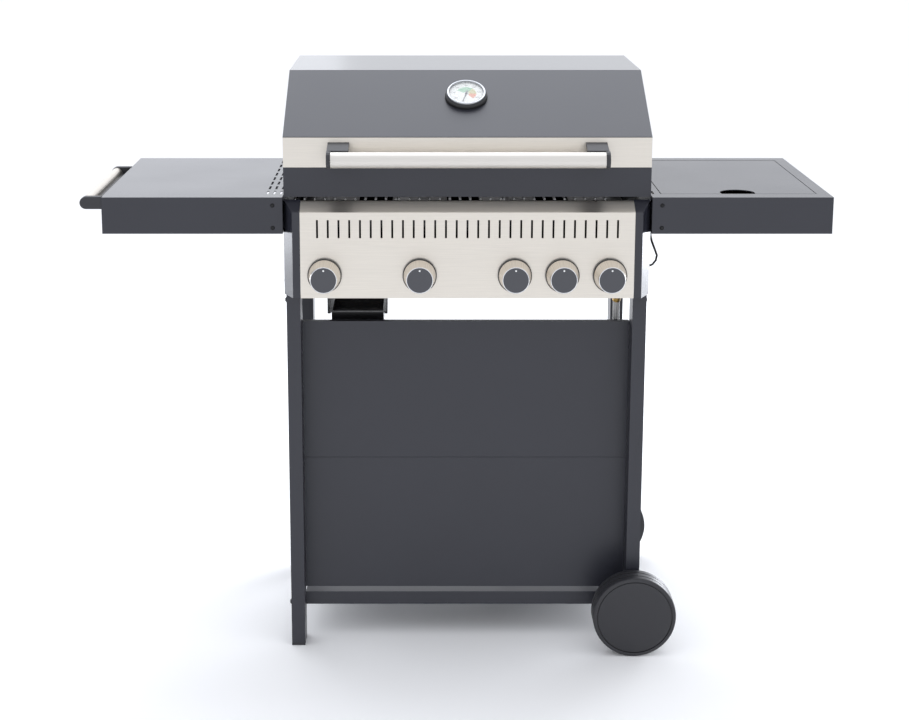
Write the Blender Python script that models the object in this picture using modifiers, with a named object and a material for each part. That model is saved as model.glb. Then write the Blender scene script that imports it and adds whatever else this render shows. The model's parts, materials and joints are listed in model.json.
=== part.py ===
"""Gas barbecue grill on a two-wheeled cart, built as an assembly of separate pieces.

Frame: +X to the right, +Y to the back, +Z up, floor at Z = 0. The model is laid out in a
body frame (X = 0 at the cook box's middle, Y = 0 at the control panel's face) that hangs
on the empty "grill_frame", which moves the whole grill to the middle of its own box.
"""
import math

import bmesh
import bpy
from mathutils import Matrix, Vector

MM = 0.001
GAP = 0.3 * MM                      # running and seating clearance between touching pieces

# ---- cook box -------------------------------------------------------------------------
BODY_HALF = 329 * MM                # middle to the outer face of a side panel
SIDE_SHEET = 2.5 * MM               # side panel sheet
SHEET = 1.5 * MM                    # panels, lid skins and shelves
TUB_SHEET = 2 * MM                  # firebox sheet
BOX_BACK = 466 * MM                 # rear face of firebox and side panels
SIDE_BOTTOM = 683 * MM              # lower edge of the control panel and the side panels
LID_BOTTOM = 862 * MM               # lower edge of the closed lid
PANEL_TOP_FRONT = 839 * MM          # front edge of the sloped top
PANEL_TOP_BACK = 855 * MM           # back edge of the sloped top
PANEL_TOP_DEPTH = 30 * MM           # depth of the sloped top
PANEL_FLANGE = 18 * MM              # folded flange under the control panel
CORNER_CHAMFER = 17.6 * MM          # width of the corner chamfer, seen from the front
CORNER_FACE = 13.5 * MM             # flat corner face beside the control panel
CORNER_DEPTH = 34 * MM              # how far back the chamfer reaches
TUB_FRONT = 33 * MM                 # front face of the firebox's upper part
TUB_LOW_FRONT = 64 * MM             # front face of its lower part
TUB_LOW_BACK = 440 * MM
PIPE_SPACE = 21.2 * MM              # between a leg and the firebox's lower part
TUB_SHOULDER = 806 * MM             # step between lower and upper part
TUB_BOTTOM = 690 * MM
RIM_FLANGE = 12 * MM                # inward flange that carries the grates
DRAIN_SIDE = 60 * MM

# ---- burners and gas ------------------------------------------------------------------
BURNER_COUNT = 4
BURNER_PITCH = 169.6 * MM
BURNER_Z = 725.3 * MM
BURNER_R = 12.5 * MM
BURNER_WALL = 1.5 * MM
BURNER_MOUTH_Y = 52 * MM
CARRY_OVER_R = 6 * MM
CARRY_OVER_Y = 380 * MM
MANIFOLD_R = 9 * MM
MANIFOLD_Y = 40 * MM
MANIFOLD_DROP = 24 * MM             # manifold axis below the valve axes
MANIFOLD_STUB = 11 * MM             # pipe past the inlet spud
VALVE_WIDTH = 24 * MM
VALVE_FRONT = 14 * MM
VALVE_BACK = 49 * MM
VALVE_HEIGHT = 34 * MM
JET_R = 4.5 * MM
JET_LENGTH = 8 * MM
SPUD_R = 8 * MM
SPUD_LENGTH = 20 * MM
SPUD_TILT = math.radians(37)        # inlet spud leans back from straight down
SPUD_X = 275 * MM
STEM_R = 4 * MM
STEM_DEPTH = 11 * MM                # how deep a stem sits in its valve body
STEM_LENGTH = 42 * MM
KNOB_BACK_R = 30.5 * MM
KNOB_RIM_R = 23.4 * MM
KNOB_FACE_R = 21.8 * MM
KNOB_LENGTH = 39 * MM
KNOB_PUSH = 3.5 * MM
KNOB_LIFT = 4 * MM                  # rest gap between knob and panel: push travel and a little more
TAMER_WIDTH = 105 * MM
TAMER_RISE = 20 * MM
TAMER_SHEET = 1.2 * MM
SLOT_COUNT = 29
SLOT_PITCH = 19.07 * MM
SLOT_WIDTH = 3.6 * MM
SLOT_HEIGHT = 32.7 * MM
SLOT_Z = 809 * MM

# ---- cooking grates -------------------------------------------------------------------
GRATE_COUNT = 3
ROD_COUNT = 11
ROD_R = 2.5 * MM
ROD_PITCH = 18.2 * MM
ROD_FRONT = 40 * MM
ROD_BACK = 456 * MM
ROD_Z = 855 * MM
GRATE_GAP = 0.6 * MM
ROD_FROM_WALL = 15 * MM             # first rod to the firebox's inner wall
CROSS_BAR_Y = (44 * MM, 180 * MM, 316 * MM, 452 * MM)
BAR_SINK = 0.6 * MM                 # weld depth between crossed rods

# ---- lid ------------------------------------------------------------------------------
LID_STEP = 1 * MM                   # lid ends inside the side panels' faces
LID_FRONT = 30 * MM
LID_BACK = 500 * MM
LID_RAIL_TOP = 915 * MM
LID_BAND_TOP = 968.8 * MM
LID_RIDGE_Y = 220 * MM              # where the slanted front meets the flat top
LID_TOP = 1068 * MM
HINGE_Y = 474 * MM
HINGE_Z = 889 * MM
HINGE_PIN_R = 4 * MM
HINGE_HEAD_R = 8 * MM
HINGE_HEAD = 2.5 * MM
EAR_R = 12 * MM
EAR_FRONT = 440 * MM
HANDLE_HALF = 248 * MM
HANDLE_R = 14 * MM
HANDLE_Y = -22 * MM
HANDLE_Z = 936 * MM
CHEEK_T = 7 * MM
CHEEK_MARGIN = 1.6 * MM
HOOD_WIDTH = 38 * MM
HOOD_T = 6 * MM
HOOD_TOP_Z = 960 * MM
THERMO_R = 35.6 * MM
THERMO_T = 13 * MM
THERMO_ALONG = 0.58                 # place of its axis between the slant's lower and upper edge
THERMO_WEDGE = math.radians(3.5)    # the dial faces a little more forward than the panel
THERMO_RECESS_R = 31.5 * MM
THERMO_RECESS = 4 * MM
PROBE_R = 4 * MM
PROBE_LENGTH = 60 * MM
NEEDLE_LENGTH = 22 * MM
NEEDLE_TAIL = 7 * MM
NEEDLE_T = 1 * MM
NEEDLE_REST = math.radians(165)     # cold reading: anticlockwise from the top of the dial

# ---- cart -----------------------------------------------------------------------------
LEG_WIDTH = 25 * MM
LEG_DEPTH = 50 * MM
LEG_WALL = 1.5 * MM
LEG_FRONT_Y = 36 * MM
LEG_REAR_Y = 400 * MM
LEG_RIGHT_BOTTOM = 50 * MM
FOOT_PAD = 6 * MM
FOOT_PLUG = 18 * MM
WHEEL_R = 77 * MM
WHEEL_WIDTH = 46 * MM
WHEEL_HUB_R = 16 * MM
WHEEL_HUB = 3.7 * MM
AXLE_R = 5 * MM
GROOVE_DEPTH = 1.5 * MM
GROOVE_WIDTH = 2 * MM
SHELF_FLOOR_TOP = 90.4 * MM         # bottom shelf
SHELF_FLOOR_SKIRT = 25.3 * MM
SHELF_FLOOR_FRONT = 78 * MM
SHELF_FLOOR_BACK = 408 * MM
FRONT_PANEL_Y = 80 * MM
FRONT_PANEL_TOP = 620.4 * MM
FRONT_PANEL_SEAM = 358 * MM
FRONT_PANEL_BOTTOM = 100.4 * MM
FRONT_PANEL_FLANGE = 13 * MM

# ---- side shelves ---------------------------------------------------------------------
WING_LENGTH = 322 * MM
WING_FRONT = 16 * MM
WING_DEPTH = 450 * MM
WING_TOP = 863.3 * MM
WING_HEIGHT = 66 * MM
VENT_COLUMNS = 3
VENT_ROWS = 8
VENT_FROM_BODY = 5.5 * MM
VENT_COLUMN_PITCH = 12 * MM
VENT_ROW_PITCH = 50 * MM
VENT_LENGTH = 32 * MM
VENT_WIDTH = 4 * MM
GRIP_R = 11 * MM                    # shelf handle bar
GRIP_REACH = 27.6 * MM              # bar axis to the shelf's end
GRIP_DROP = 10.1 * MM               # bar axis below the shelf's top
GRIP_SPAN = 314 * MM
GRIP_BRACKET = 14 * MM
BURNER_LID_NEAR = 20 * MM           # shelf's inner end to the side burner lid
BURNER_LID_FAR = 24 * MM            # side burner lid to the shelf's outer end
BURNER_LID_FRONT = 54 * MM
BURNER_LID_DEPTH = 378.7 * MM
BURNER_LID_RIM = 8 * MM
LID_GROOVE = 1.5 * MM
LID_GROOVE_BACK = 3.3 * MM
LID_PIN_R = 2.5 * MM
LID_PIN_FROM_BACK = 4.7 * MM
LID_PIN_DROP = 5.3 * MM
NOTCH_R = 31.5 * MM
PAN_MARGIN = 3.5 * MM               # pan wall outside the cut-out's edge
PAN_DEPTH = 46.5 * MM
PAN_SHEET = 1.5 * MM
SIDE_BURNER_R = 42 * MM
SIDE_BURNER_RISE = 20 * MM
FEED_R = 4 * MM
GRID_SIDE = 200 * MM
GRID_ROD = 5 * MM
GRID_TOP_DROP = 14 * MM
GRID_RODS = 5

# ---- grease tray, hose, lead ----------------------------------------------------------
TRAY_X = -200.4 * MM
TRAY_WIDTH = 97 * MM
TRAY_RIM = 4.7 * MM
TRAY_FRONT = 110 * MM
TRAY_LENGTH = 240 * MM
TRAY_TOP = 631 * MM
TRAY_HEIGHT = 36 * MM
RUNNER_T = 2 * MM
RUNNER_LIP = 4 * MM
HOSE_R = 6.5 * MM
REGULATOR_R = 28 * MM
REGULATOR_HEIGHT = 34 * MM
LEAD_R = 2 * MM
LEAD_HOLE_Z = 718 * MM
FEED_HOLE_Z = 786 * MM
LEAD_HOLE_Y = 102 * MM
FEED_HOLE_Y = 118 * MM
LEAD_HOLE_R = 5 * MM
FEED_HOLE_R = 7 * MM

# ---- values that follow from the ones above -------------------------------------------
SIDE_INNER = BODY_HALF - SIDE_SHEET
CORNER_IN = BODY_HALF - CORNER_CHAMFER
PANEL_HALF = CORNER_IN - CORNER_FACE - GAP
LID_HALF = BODY_HALF - LID_STEP
LEG_OUTER = SIDE_INNER - GAP
LEG_X = LEG_OUTER - LEG_WIDTH / 2
LEG_INNER = LEG_OUTER - LEG_WIDTH
LEG_TOP = TUB_SHOULDER - GAP
BETWEEN_LEGS = LEG_INNER - GAP
TUB_HALF = SIDE_INNER - GAP
TUB_LOW_HALF = LEG_INNER - PIPE_SPACE
FIRST_ROD_X = -(TUB_HALF - TUB_SHEET - ROD_FROM_WALL)
BAR_Z = ROD_Z - 2 * ROD_R + BAR_SINK
RIM_Z = BAR_Z - ROD_R - GAP
WING_IN = BODY_HALF + GAP
WING_OUT = WING_IN + WING_LENGTH
WING_BACK = WING_FRONT + WING_DEPTH
GRIP_X = WING_OUT + GRIP_REACH
GRIP_Z = WING_TOP - GRIP_DROP
WHEEL_FRONT_BACK = LEG_FRONT_Y - GAP
WHEEL_REAR_FRONT = LEG_REAR_Y + LEG_DEPTH + GAP
REAR_WHEEL_END = WHEEL_REAR_FRONT + WHEEL_HUB + WHEEL_WIDTH
KNOB_FRONT = -(KNOB_LIFT + KNOB_LENGTH)
KNOB_XS = [(i - (BURNER_COUNT - 1) / 2) * BURNER_PITCH for i in range(BURNER_COUNT)]
SIDE_VALVE_X = (KNOB_XS[-2] + KNOB_XS[-1]) / 2
VALVE_XS = KNOB_XS[:-1] + [SIDE_VALVE_X, KNOB_XS[-1]]
MANIFOLD_Z = BURNER_Z - MANIFOLD_DROP
FRONT_END = min(KNOB_FRONT, HANDLE_Y - HANDLE_R - CHEEK_MARGIN)
BACK_END = max(LID_BACK, REAR_WHEEL_END)
MIDDLE_X = (WING_OUT - GRIP_X - GRIP_R) / 2
MIDDLE_Y = (FRONT_END + BACK_END) / 2
LID_PIN_Y = BURNER_LID_FRONT + BURNER_LID_DEPTH - LID_PIN_FROM_BACK
LID_PIN_Z = WING_TOP - LID_PIN_DROP
BURNER_LID_X = WING_IN + BURNER_LID_NEAR
BURNER_LID_WIDTH = WING_LENGTH - BURNER_LID_NEAR - BURNER_LID_FAR
PAN_LOW_X = BURNER_LID_X - LID_GROOVE - PAN_MARGIN
PAN_HIGH_X = BURNER_LID_X + BURNER_LID_WIDTH + LID_GROOVE + PAN_MARGIN
PAN_FRONT = BURNER_LID_FRONT - LID_GROOVE - PAN_MARGIN
PAN_BACK = BURNER_LID_FRONT + BURNER_LID_DEPTH + LID_GROOVE_BACK + PAN_MARGIN
PAN_TOP = WING_TOP - SHEET - GAP
PAN_FLOOR = PAN_TOP - PAN_DEPTH
SIDE_BURNER_X = BURNER_LID_X + BURNER_LID_WIDTH / 2
SIDE_BURNER_Y = BURNER_LID_FRONT + BURNER_LID_DEPTH / 2


# ---- scene ----------------------------------------------------------------------------
for old in list(bpy.data.objects):
    bpy.data.objects.remove(old, do_unlink=True)

grill = bpy.data.collections.new("gas_barbecue_grill")
cutters = bpy.data.collections.new("cutters")
bpy.context.scene.collection.children.link(grill)
bpy.context.scene.collection.children.link(cutters)


def empty(name, location, parent=None):
    """An empty that carries pieces: the grill's frame, or a joint's axis within it."""
    holder = bpy.data.objects.new(name, None)
    holder.location = location
    holder.parent = parent
    grill.objects.link(holder)
    return holder


FRAME = empty("grill_frame", (-MIDDLE_X, -MIDDLE_Y, 0))
LID_AXIS = empty("lid_axis", (0, HINGE_Y, HINGE_Z), FRAME)


def finish_of(name, colour, roughness, metallic):
    """One Principled material."""
    made = bpy.data.materials.new(name)
    made.use_nodes = True
    shader = made.node_tree.nodes["Principled BSDF"]
    shader.inputs["Base Color"].default_value = (*colour, 1)
    shader.inputs["Roughness"].default_value = roughness
    shader.inputs["Metallic"].default_value = metallic
    return made


DARK_PAINT = finish_of("dark_grey_powder_coat", (0.055, 0.058, 0.068), 0.5, 0.1)
STAINLESS = finish_of("brushed_stainless", (0.62, 0.61, 0.6), 0.32, 1.0)
ENAMEL = finish_of("black_enamel", (0.015, 0.015, 0.016), 0.35, 0.0)
ZINC = finish_of("zinc_plated_steel", (0.5, 0.5, 0.52), 0.4, 1.0)
PLASTIC = finish_of("dark_plastic", (0.05, 0.05, 0.055), 0.5, 0.0)
RUBBER = finish_of("black_rubber", (0.02, 0.02, 0.02), 0.8, 0.0)
BRASS = finish_of("brass", (0.6, 0.45, 0.2), 0.35, 1.0)
DIAL = finish_of("dial_white", (0.8, 0.8, 0.78), 0.4, 0.0)
BRAID = finish_of("grey_braid", (0.45, 0.45, 0.44), 0.6, 0.3)


# ---- modelling helpers ----------------------------------------------------------------
def place(name, mesh, finish, location=(0, 0, 0), rotation=(0, 0, 0), parent=FRAME, to=None):
    """Link a mesh or curve as one named piece; its location is in the body frame."""
    piece = bpy.data.objects.new(name, mesh)
    if finish is not None:
        mesh.materials.append(finish)
    piece.location = Vector(location)
    if parent is not FRAME:
        piece.location -= parent.location
    piece.rotation_euler = rotation
    piece.parent = parent
    (to or grill).objects.link(piece)
    return piece


def mesh_from(bm, name):
    mesh = bpy.data.meshes.new(name)
    bmesh.ops.recalc_face_normals(bm, faces=bm.faces)
    bm.to_mesh(mesh)
    bm.free()
    return mesh


def add_box(bm, low, high):
    """A block between two corners, added to a bmesh."""
    low, high = Vector(low), Vector(high)
    size = Matrix.Diagonal((*(high - low), 1))
    bmesh.ops.create_cube(bm, size=1, matrix=Matrix.Translation((low + high) / 2) @ size)


def add_rod(bm, start, end, radius, sides=12):
    """A round bar between two points, added to a bmesh."""
    start, end = Vector(start), Vector(end)
    turn = (end - start).to_track_quat("Z", "Y").to_matrix().to_4x4()
    bmesh.ops.create_cone(bm, cap_ends=True, segments=sides, radius1=radius, radius2=radius,
                          depth=(end - start).length,
                          matrix=Matrix.Translation((start + end) / 2) @ turn)


def boxes_mesh(name, blocks):
    bm = bmesh.new()
    for low, high in blocks:
        add_box(bm, low, high)
    return mesh_from(bm, name)


def rods_mesh(name, rods, sides=12):
    """Bars as (start, end, radius)."""
    bm = bmesh.new()
    for start, end, radius in rods:
        add_rod(bm, start, end, radius, sides)
    return mesh_from(bm, name)


def helper(name, mesh, location=(0, 0, 0), rotation=(0, 0, 0)):
    """A solid that only cuts or extends another piece."""
    solid = place(name, mesh, None, location, rotation, FRAME, cutters)
    solid.hide_render = True
    solid.display_type = "WIRE"
    return solid


def boolean(piece, other, operation):
    step = piece.modifiers.new(other.name, "BOOLEAN")
    step.operation = operation
    step.solver = "EXACT"
    step.object = other


def cut(piece, other):
    boolean(piece, other, "DIFFERENCE")


def join(piece, other):
    boolean(piece, other, "UNION")


def solidify(piece, thickness, offset=-1):
    """Thicken an open surface; offset -1 grows to the inside of the surface's normals."""
    step = piece.modifiers.new("sheet", "SOLIDIFY")
    step.thickness = thickness
    step.offset = offset
    step.use_even_offset = True
    step.use_quality_normals = True


def round_smooth(mesh):
    mesh.shade_smooth()
    mesh.set_sharp_from_angle(angle=SMOOTH_ANGLE)


def outline_mesh(name, points, thickness):
    """A flat outline in X and Y, extruded to both sides of Z = 0."""
    curve = bpy.data.curves.new(name, "CURVE")
    curve.dimensions = "2D"
    curve.fill_mode = "BOTH"
    curve.extrude = thickness / 2
    spline = curve.splines.new("POLY")
    spline.points.add(len(points) - 1)
    for spot, (x, y) in zip(spline.points, points):
        spot.co = (x, y, 0, 1)
    spline.use_cyclic_u = True
    carrier = bpy.data.objects.new(name, curve)
    bpy.context.scene.collection.objects.link(carrier)
    seen = carrier.evaluated_get(bpy.context.evaluated_depsgraph_get())
    mesh = bpy.data.meshes.new_from_object(seen)
    bpy.data.objects.remove(carrier, do_unlink=True)
    bm = bmesh.new()
    bm.from_mesh(mesh)
    bmesh.ops.remove_doubles(bm, verts=bm.verts, dist=0.00001)
    bmesh.ops.recalc_face_normals(bm, faces=bm.faces)
    bm.to_mesh(mesh)
    bm.free()
    return mesh


SMOOTH_ANGLE = math.radians(35)                        # faces that meet more sharply keep an edge
UPRIGHT_YZ = (math.radians(90), 0, math.radians(90))   # outline X, Y become the grill's Y, Z


def arc(centre, radius, start, end, steps):
    """Points on an arc, both ends included; angles in degrees."""
    points = []
    for i in range(steps + 1):
        angle = math.radians(start + (end - start) * i / steps)
        points.append((centre[0] + radius * math.cos(angle), centre[1] + radius * math.sin(angle)))
    return points


def face_away(bm, inside):
    """Turn an open sheet's faces away from a point on its inner side."""
    bmesh.ops.recalc_face_normals(bm, faces=bm.faces)
    bm.faces.ensure_lookup_table()
    widest = max(bm.faces, key=lambda face: face.calc_area())
    if widest.normal.dot(widest.calc_center_median() - Vector(inside)) < 0:
        bmesh.ops.reverse_faces(bm, faces=bm.faces)


def folded_mesh(name, profile, low_x, high_x, inside):
    """An open folded sheet: a (Y, Z) profile drawn out along X, facing away from inside."""
    bm = bmesh.new()
    near = [bm.verts.new((low_x, y, z)) for y, z in profile]
    edges = [bm.edges.new(pair) for pair in zip(near, near[1:])]
    drawn = bmesh.ops.extrude_edge_only(bm, edges=edges)["geom"]
    verts = [item for item in drawn if isinstance(item, bmesh.types.BMVert)]
    bmesh.ops.translate(bm, verts=verts, vec=(high_x - low_x, 0, 0))
    face_away(bm, ((low_x + high_x) / 2, *inside))
    mesh = bpy.data.meshes.new(name)
    bm.to_mesh(mesh)
    bm.free()
    return mesh


def dish_mesh(name, levels):
    """An open tub of rectangles (x0, x1, y0, y1, z), listed from its rim to its floor."""
    bm = bmesh.new()
    x0, x1, y0, y1, z = levels[-1]
    corners = [(x0, y0), (x1, y0), (x1, y1), (x0, y1)]
    ring = [bm.verts.new((x, y, z)) for x, y in corners]
    floor = bm.faces.new(ring)
    edges = list(floor.edges)
    for x0, x1, y0, y1, z in reversed(levels[:-1]):
        drawn = bmesh.ops.extrude_edge_only(bm, edges=edges)["geom"]
        edges = [item for item in drawn if isinstance(item, bmesh.types.BMEdge)]
        verts = [item for item in drawn if isinstance(item, bmesh.types.BMVert)]
        middle_x = sum(v.co.x for v in verts) / len(verts)
        middle_y = sum(v.co.y for v in verts) / len(verts)
        for vert in verts:
            vert.co = (x1 if vert.co.x > middle_x else x0, y1 if vert.co.y > middle_y else y0, z)
        edges = [edge for edge in edges if edge.is_boundary]
    face_away(bm, (middle_x, middle_y, (levels[0][4] + levels[-1][4]) / 2))
    mesh = bpy.data.meshes.new(name)
    bm.to_mesh(mesh)
    bm.free()
    return mesh


def tube_mesh(name, width, depth, wall, low_z, high_z):
    """A rectangular tube along Z, open at both ends."""
    bm = bmesh.new()
    add_box(bm, (-width / 2, -depth / 2, low_z), (width / 2, depth / 2, high_z))
    ends = [face for face in bm.faces if abs(face.normal.z) > 0.5]
    for face in ends:
        bmesh.ops.inset_region(bm, faces=[face], thickness=wall, use_even_offset=True)
    bridged = []
    for face in ends:
        bridged += list(face.edges)
    bmesh.ops.delete(bm, geom=ends, context="FACES_ONLY")
    bmesh.ops.bridge_loops(bm, edges=bridged)
    return mesh_from(bm, name)


def turned(name, profile, finish, location, rotation=(0, 0, 0), parent=FRAME, steps=24):
    """A turned piece: a (radius, height) profile, top of the outer side first, round local Z."""
    bm = bmesh.new()
    verts = [bm.verts.new((radius, 0, height)) for radius, height in profile]
    for pair in zip(verts, verts[1:]):
        bm.edges.new(pair)
    mesh = bpy.data.meshes.new(name)
    bm.to_mesh(mesh)
    bm.free()
    piece = place(name, mesh, finish, location, rotation, parent)
    screw = piece.modifiers.new("turn", "SCREW")
    screw.axis = "Z"
    screw.angle = math.radians(360)
    screw.steps = steps
    screw.render_steps = steps
    screw.use_merge_vertices = True
    screw.merge_threshold = 0.00001
    screw.use_smooth_shade = False
    return piece


def smooth_route(points, spacing):
    """A smooth curve through the route's points, read off at an even spacing."""
    points = [Vector(p) for p in points]
    padded = [2 * points[0] - points[1]] + points + [2 * points[-1] - points[-2]]
    fine = []
    for a, b, c, d in zip(padded, padded[1:], padded[2:], padded[3:]):
        for i in range(24):
            t = i / 24
            fine.append(0.5 * (2 * b + (c - a) * t + (2 * a - 5 * b + 4 * c - d) * t ** 2
                               + (3 * b - a - 3 * c + d) * t ** 3))
    fine.append(points[-1])
    length = sum((q - p).length for p, q in zip(fine, fine[1:]))
    count = max(2, round(length / spacing))
    step = length / count
    result = [fine[0]]
    walked = 0
    for p, q in zip(fine, fine[1:]):
        piece = (q - p).length
        while piece > 0 and walked + piece >= step * len(result) and len(result) < count:
            result.append(p.lerp(q, (step * len(result) - walked) / piece))
        walked += piece
    result.append(fine[-1])
    return result, length


def tube_along(name, points, radius, finish):
    """A round tube on a POLY curve with closed ends."""
    curve = bpy.data.curves.new(name, "CURVE")
    curve.dimensions = "3D"
    curve.bevel_depth = radius
    curve.bevel_resolution = 2
    curve.use_fill_caps = True
    spline = curve.splines.new("POLY")
    spline.points.add(len(points) - 1)
    for spot, point in zip(spline.points, points):
        spot.co = (*point, 1)
    return place(name, curve, finish)


def as_mesh(piece):
    """Turn a curve piece into a mesh piece of the same name and place."""
    bpy.context.view_layer.update()
    seen = piece.evaluated_get(bpy.context.evaluated_depsgraph_get())
    mesh = bpy.data.meshes.new_from_object(seen)
    bm = bmesh.new()
    bm.from_mesh(mesh)
    bmesh.ops.remove_doubles(bm, verts=bm.verts, dist=0.00001)
    bmesh.ops.recalc_face_normals(bm, faces=bm.faces)
    bm.to_mesh(mesh)
    bm.free()
    return mesh


FORWARD = (math.radians(90), 0, 0)                     # local Z points to the front
BACKWARD = (math.radians(-90), 0, 0)
UPRIGHT_XZ = FORWARD                                   # outline X, Y become the grill's X, Z
SIDES = (("left", -1), ("right", 1))


# ---- cart -----------------------------------------------------------------------------
def make_legs():
    """Four rectangular tubes; the right pair is drilled for the axle, the left pair has feet."""
    for row, front in (("front", LEG_FRONT_Y), ("rear", LEG_REAR_Y)):
        middle_y = front + LEG_DEPTH / 2
        for side, sign in SIDES:
            low = LEG_RIGHT_BOTTOM if side == "right" else FOOT_PAD + GAP
            name = f"leg_{row}_{side}"
            tube = tube_mesh(name, LEG_WIDTH, LEG_DEPTH, LEG_WALL, low, LEG_TOP)
            leg = place(name, tube, DARK_PAINT, (sign * LEG_X, middle_y, 0))
            if side == "right":
                drill = rods_mesh("axle_drill", [((0, -LEG_DEPTH, WHEEL_R), (0, LEG_DEPTH, WHEEL_R),
                                                  AXLE_R + GAP)], sides=16)
                cut(leg, helper(f"axle_drill_{row}", drill, location=(LEG_X, middle_y, 0)))
        make_foot(row, middle_y)


def make_foot(row, middle_y):
    name = f"foot_{row}_left"
    pad = boxes_mesh(name, [((-LEG_WIDTH / 2, -LEG_DEPTH / 2, 0), (LEG_WIDTH / 2, LEG_DEPTH / 2, FOOT_PAD))])
    foot = place(name, pad, PLASTIC, (-LEG_X, middle_y, 0))
    half_x = LEG_WIDTH / 2 - LEG_WALL - GAP
    half_y = LEG_DEPTH / 2 - LEG_WALL - GAP
    plug = boxes_mesh("foot_plug", [((-half_x, -half_y, FOOT_PAD / 2),
                                     (half_x, half_y, FOOT_PAD + FOOT_PLUG))])
    join(foot, helper(f"foot_plug_{row}", plug, location=(-LEG_X, middle_y, 0)))


def make_bottom_shelf():
    edge = (-BETWEEN_LEGS, BETWEEN_LEGS, SHELF_FLOOR_FRONT, SHELF_FLOOR_BACK)
    tray = dish_mesh("bottom_shelf", [(*edge, SHELF_FLOOR_TOP - SHELF_FLOOR_SKIRT), (*edge, SHELF_FLOOR_TOP)])
    solidify(place("bottom_shelf", tray, DARK_PAINT), SHEET)


def make_front_panels():
    """Two sheets between the front legs, flanged to the back on all sides."""
    for name, low, high in (("front_panel_upper", FRONT_PANEL_SEAM + GAP, FRONT_PANEL_TOP),
                            ("front_panel_lower", FRONT_PANEL_BOTTOM, FRONT_PANEL_SEAM - GAP)):
        edge = (-BETWEEN_LEGS, BETWEEN_LEGS, low, high)
        sheet = dish_mesh(name, [(*edge, -FRONT_PANEL_FLANGE), (*edge, 0)])
        solidify(place(name, sheet, DARK_PAINT, (0, FRONT_PANEL_Y, 0), UPRIGHT_XZ), SHEET)


def wheel_profile():
    """Tyre with two grooves, flat cap side up, hub and blind axle bore below."""
    top = WHEEL_HUB + WHEEL_WIDTH
    edge = 3 * MM
    bore = AXLE_R + GAP
    points = [(0, top), (WHEEL_R - edge, top), (WHEEL_R, top - edge)]
    for share in (1 / 3, 2 / 3):
        z = WHEEL_HUB + WHEEL_WIDTH * (1 - share)
        points += [(WHEEL_R, z + GROOVE_WIDTH / 2), (WHEEL_R - GROOVE_DEPTH, z + GROOVE_WIDTH / 2),
                   (WHEEL_R - GROOVE_DEPTH, z - GROOVE_WIDTH / 2), (WHEEL_R, z - GROOVE_WIDTH / 2)]
    points += [(WHEEL_R, WHEEL_HUB + edge), (WHEEL_R - edge, WHEEL_HUB), (WHEEL_HUB_R, WHEEL_HUB),
               (WHEEL_HUB_R, 0), (bore, 0), (bore, WHEEL_WIDTH), (0, WHEEL_WIDTH)]
    return points


def make_wheels():
    turned("wheel_front", wheel_profile(), PLASTIC, (LEG_X, WHEEL_FRONT_BACK, WHEEL_R), FORWARD, steps=32)
    turned("wheel_rear", wheel_profile(), PLASTIC, (LEG_X, WHEEL_REAR_FRONT, WHEEL_R), BACKWARD, steps=32)
    reach = WHEEL_WIDTH - GAP
    axle = rods_mesh("wheel_axle", [((0, WHEEL_FRONT_BACK - reach, 0), (0, WHEEL_REAR_FRONT + reach, 0),
                                     AXLE_R)], sides=16)
    place("wheel_axle", axle, ZINC, (LEG_X, 0, WHEEL_R))


# ---- cook box -------------------------------------------------------------------------
def make_firebox():
    """Tub with a rim flange for the grates, a shoulder over the legs and two hinge ears."""
    rim = (-TUB_HALF + RIM_FLANGE, TUB_HALF - RIM_FLANGE, TUB_FRONT + RIM_FLANGE, BOX_BACK - RIM_FLANGE)
    upper = (-TUB_HALF, TUB_HALF, TUB_FRONT, BOX_BACK)
    lower = (-TUB_LOW_HALF, TUB_LOW_HALF, TUB_LOW_FRONT, TUB_LOW_BACK)
    tub = dish_mesh("firebox", [(*rim, RIM_Z), (*upper, RIM_Z), (*upper, TUB_SHOULDER),
                                (*lower, TUB_SHOULDER), (*lower, TUB_BOTTOM)])
    firebox = place("firebox", tub, ENAMEL)
    solidify(firebox, TUB_SHEET)
    low = RIM_Z - RIM_FLANGE
    ear_outline = [(EAR_FRONT, low), (BOX_BACK - GAP, low)] + arc((HINGE_Y, HINGE_Z), EAR_R, -30, 170, 10)
    for side, sign in SIDES:
        ear = outline_mesh("hinge_ear", ear_outline, TUB_SHEET)
        x = sign * (TUB_HALF - GAP / 3 - TUB_SHEET / 2)
        join(firebox, helper(f"hinge_ear_{side}", ear, location=(x, 0, 0), rotation=UPRIGHT_YZ))
    reach = LID_HALF + HINGE_HEAD_R
    holes = [((-reach, HINGE_Y, HINGE_Z), (reach, HINGE_Y, HINGE_Z), HINGE_PIN_R + GAP)]
    for x in KNOB_XS:
        holes.append(((x, TUB_LOW_FRONT - BURNER_R, BURNER_Z), (x, TUB_LOW_FRONT + BURNER_R, BURNER_Z),
                      BURNER_R + GAP))
    cut(firebox, helper("firebox_drills", rods_mesh("firebox_drills", holes, sides=16)))
    cut(firebox, helper("firebox_drain", drain_mesh()))


def drain_mesh():
    """The drain opening over the grease tray, also cut in the tray's hanger."""
    half = DRAIN_SIDE / 2
    y = TRAY_FRONT + TRAY_LENGTH / 2
    return boxes_mesh("drain", [((TRAY_X - half, y - half, TUB_BOTTOM - DRAIN_SIDE / 4),
                                 (TRAY_X + half, y + half, TUB_BOTTOM + DRAIN_SIDE / 4))])


def slope_z(y):
    """Height of the control panel's sloped top at a depth."""
    return PANEL_TOP_FRONT + (PANEL_TOP_BACK - PANEL_TOP_FRONT) * y / PANEL_TOP_DEPTH


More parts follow.
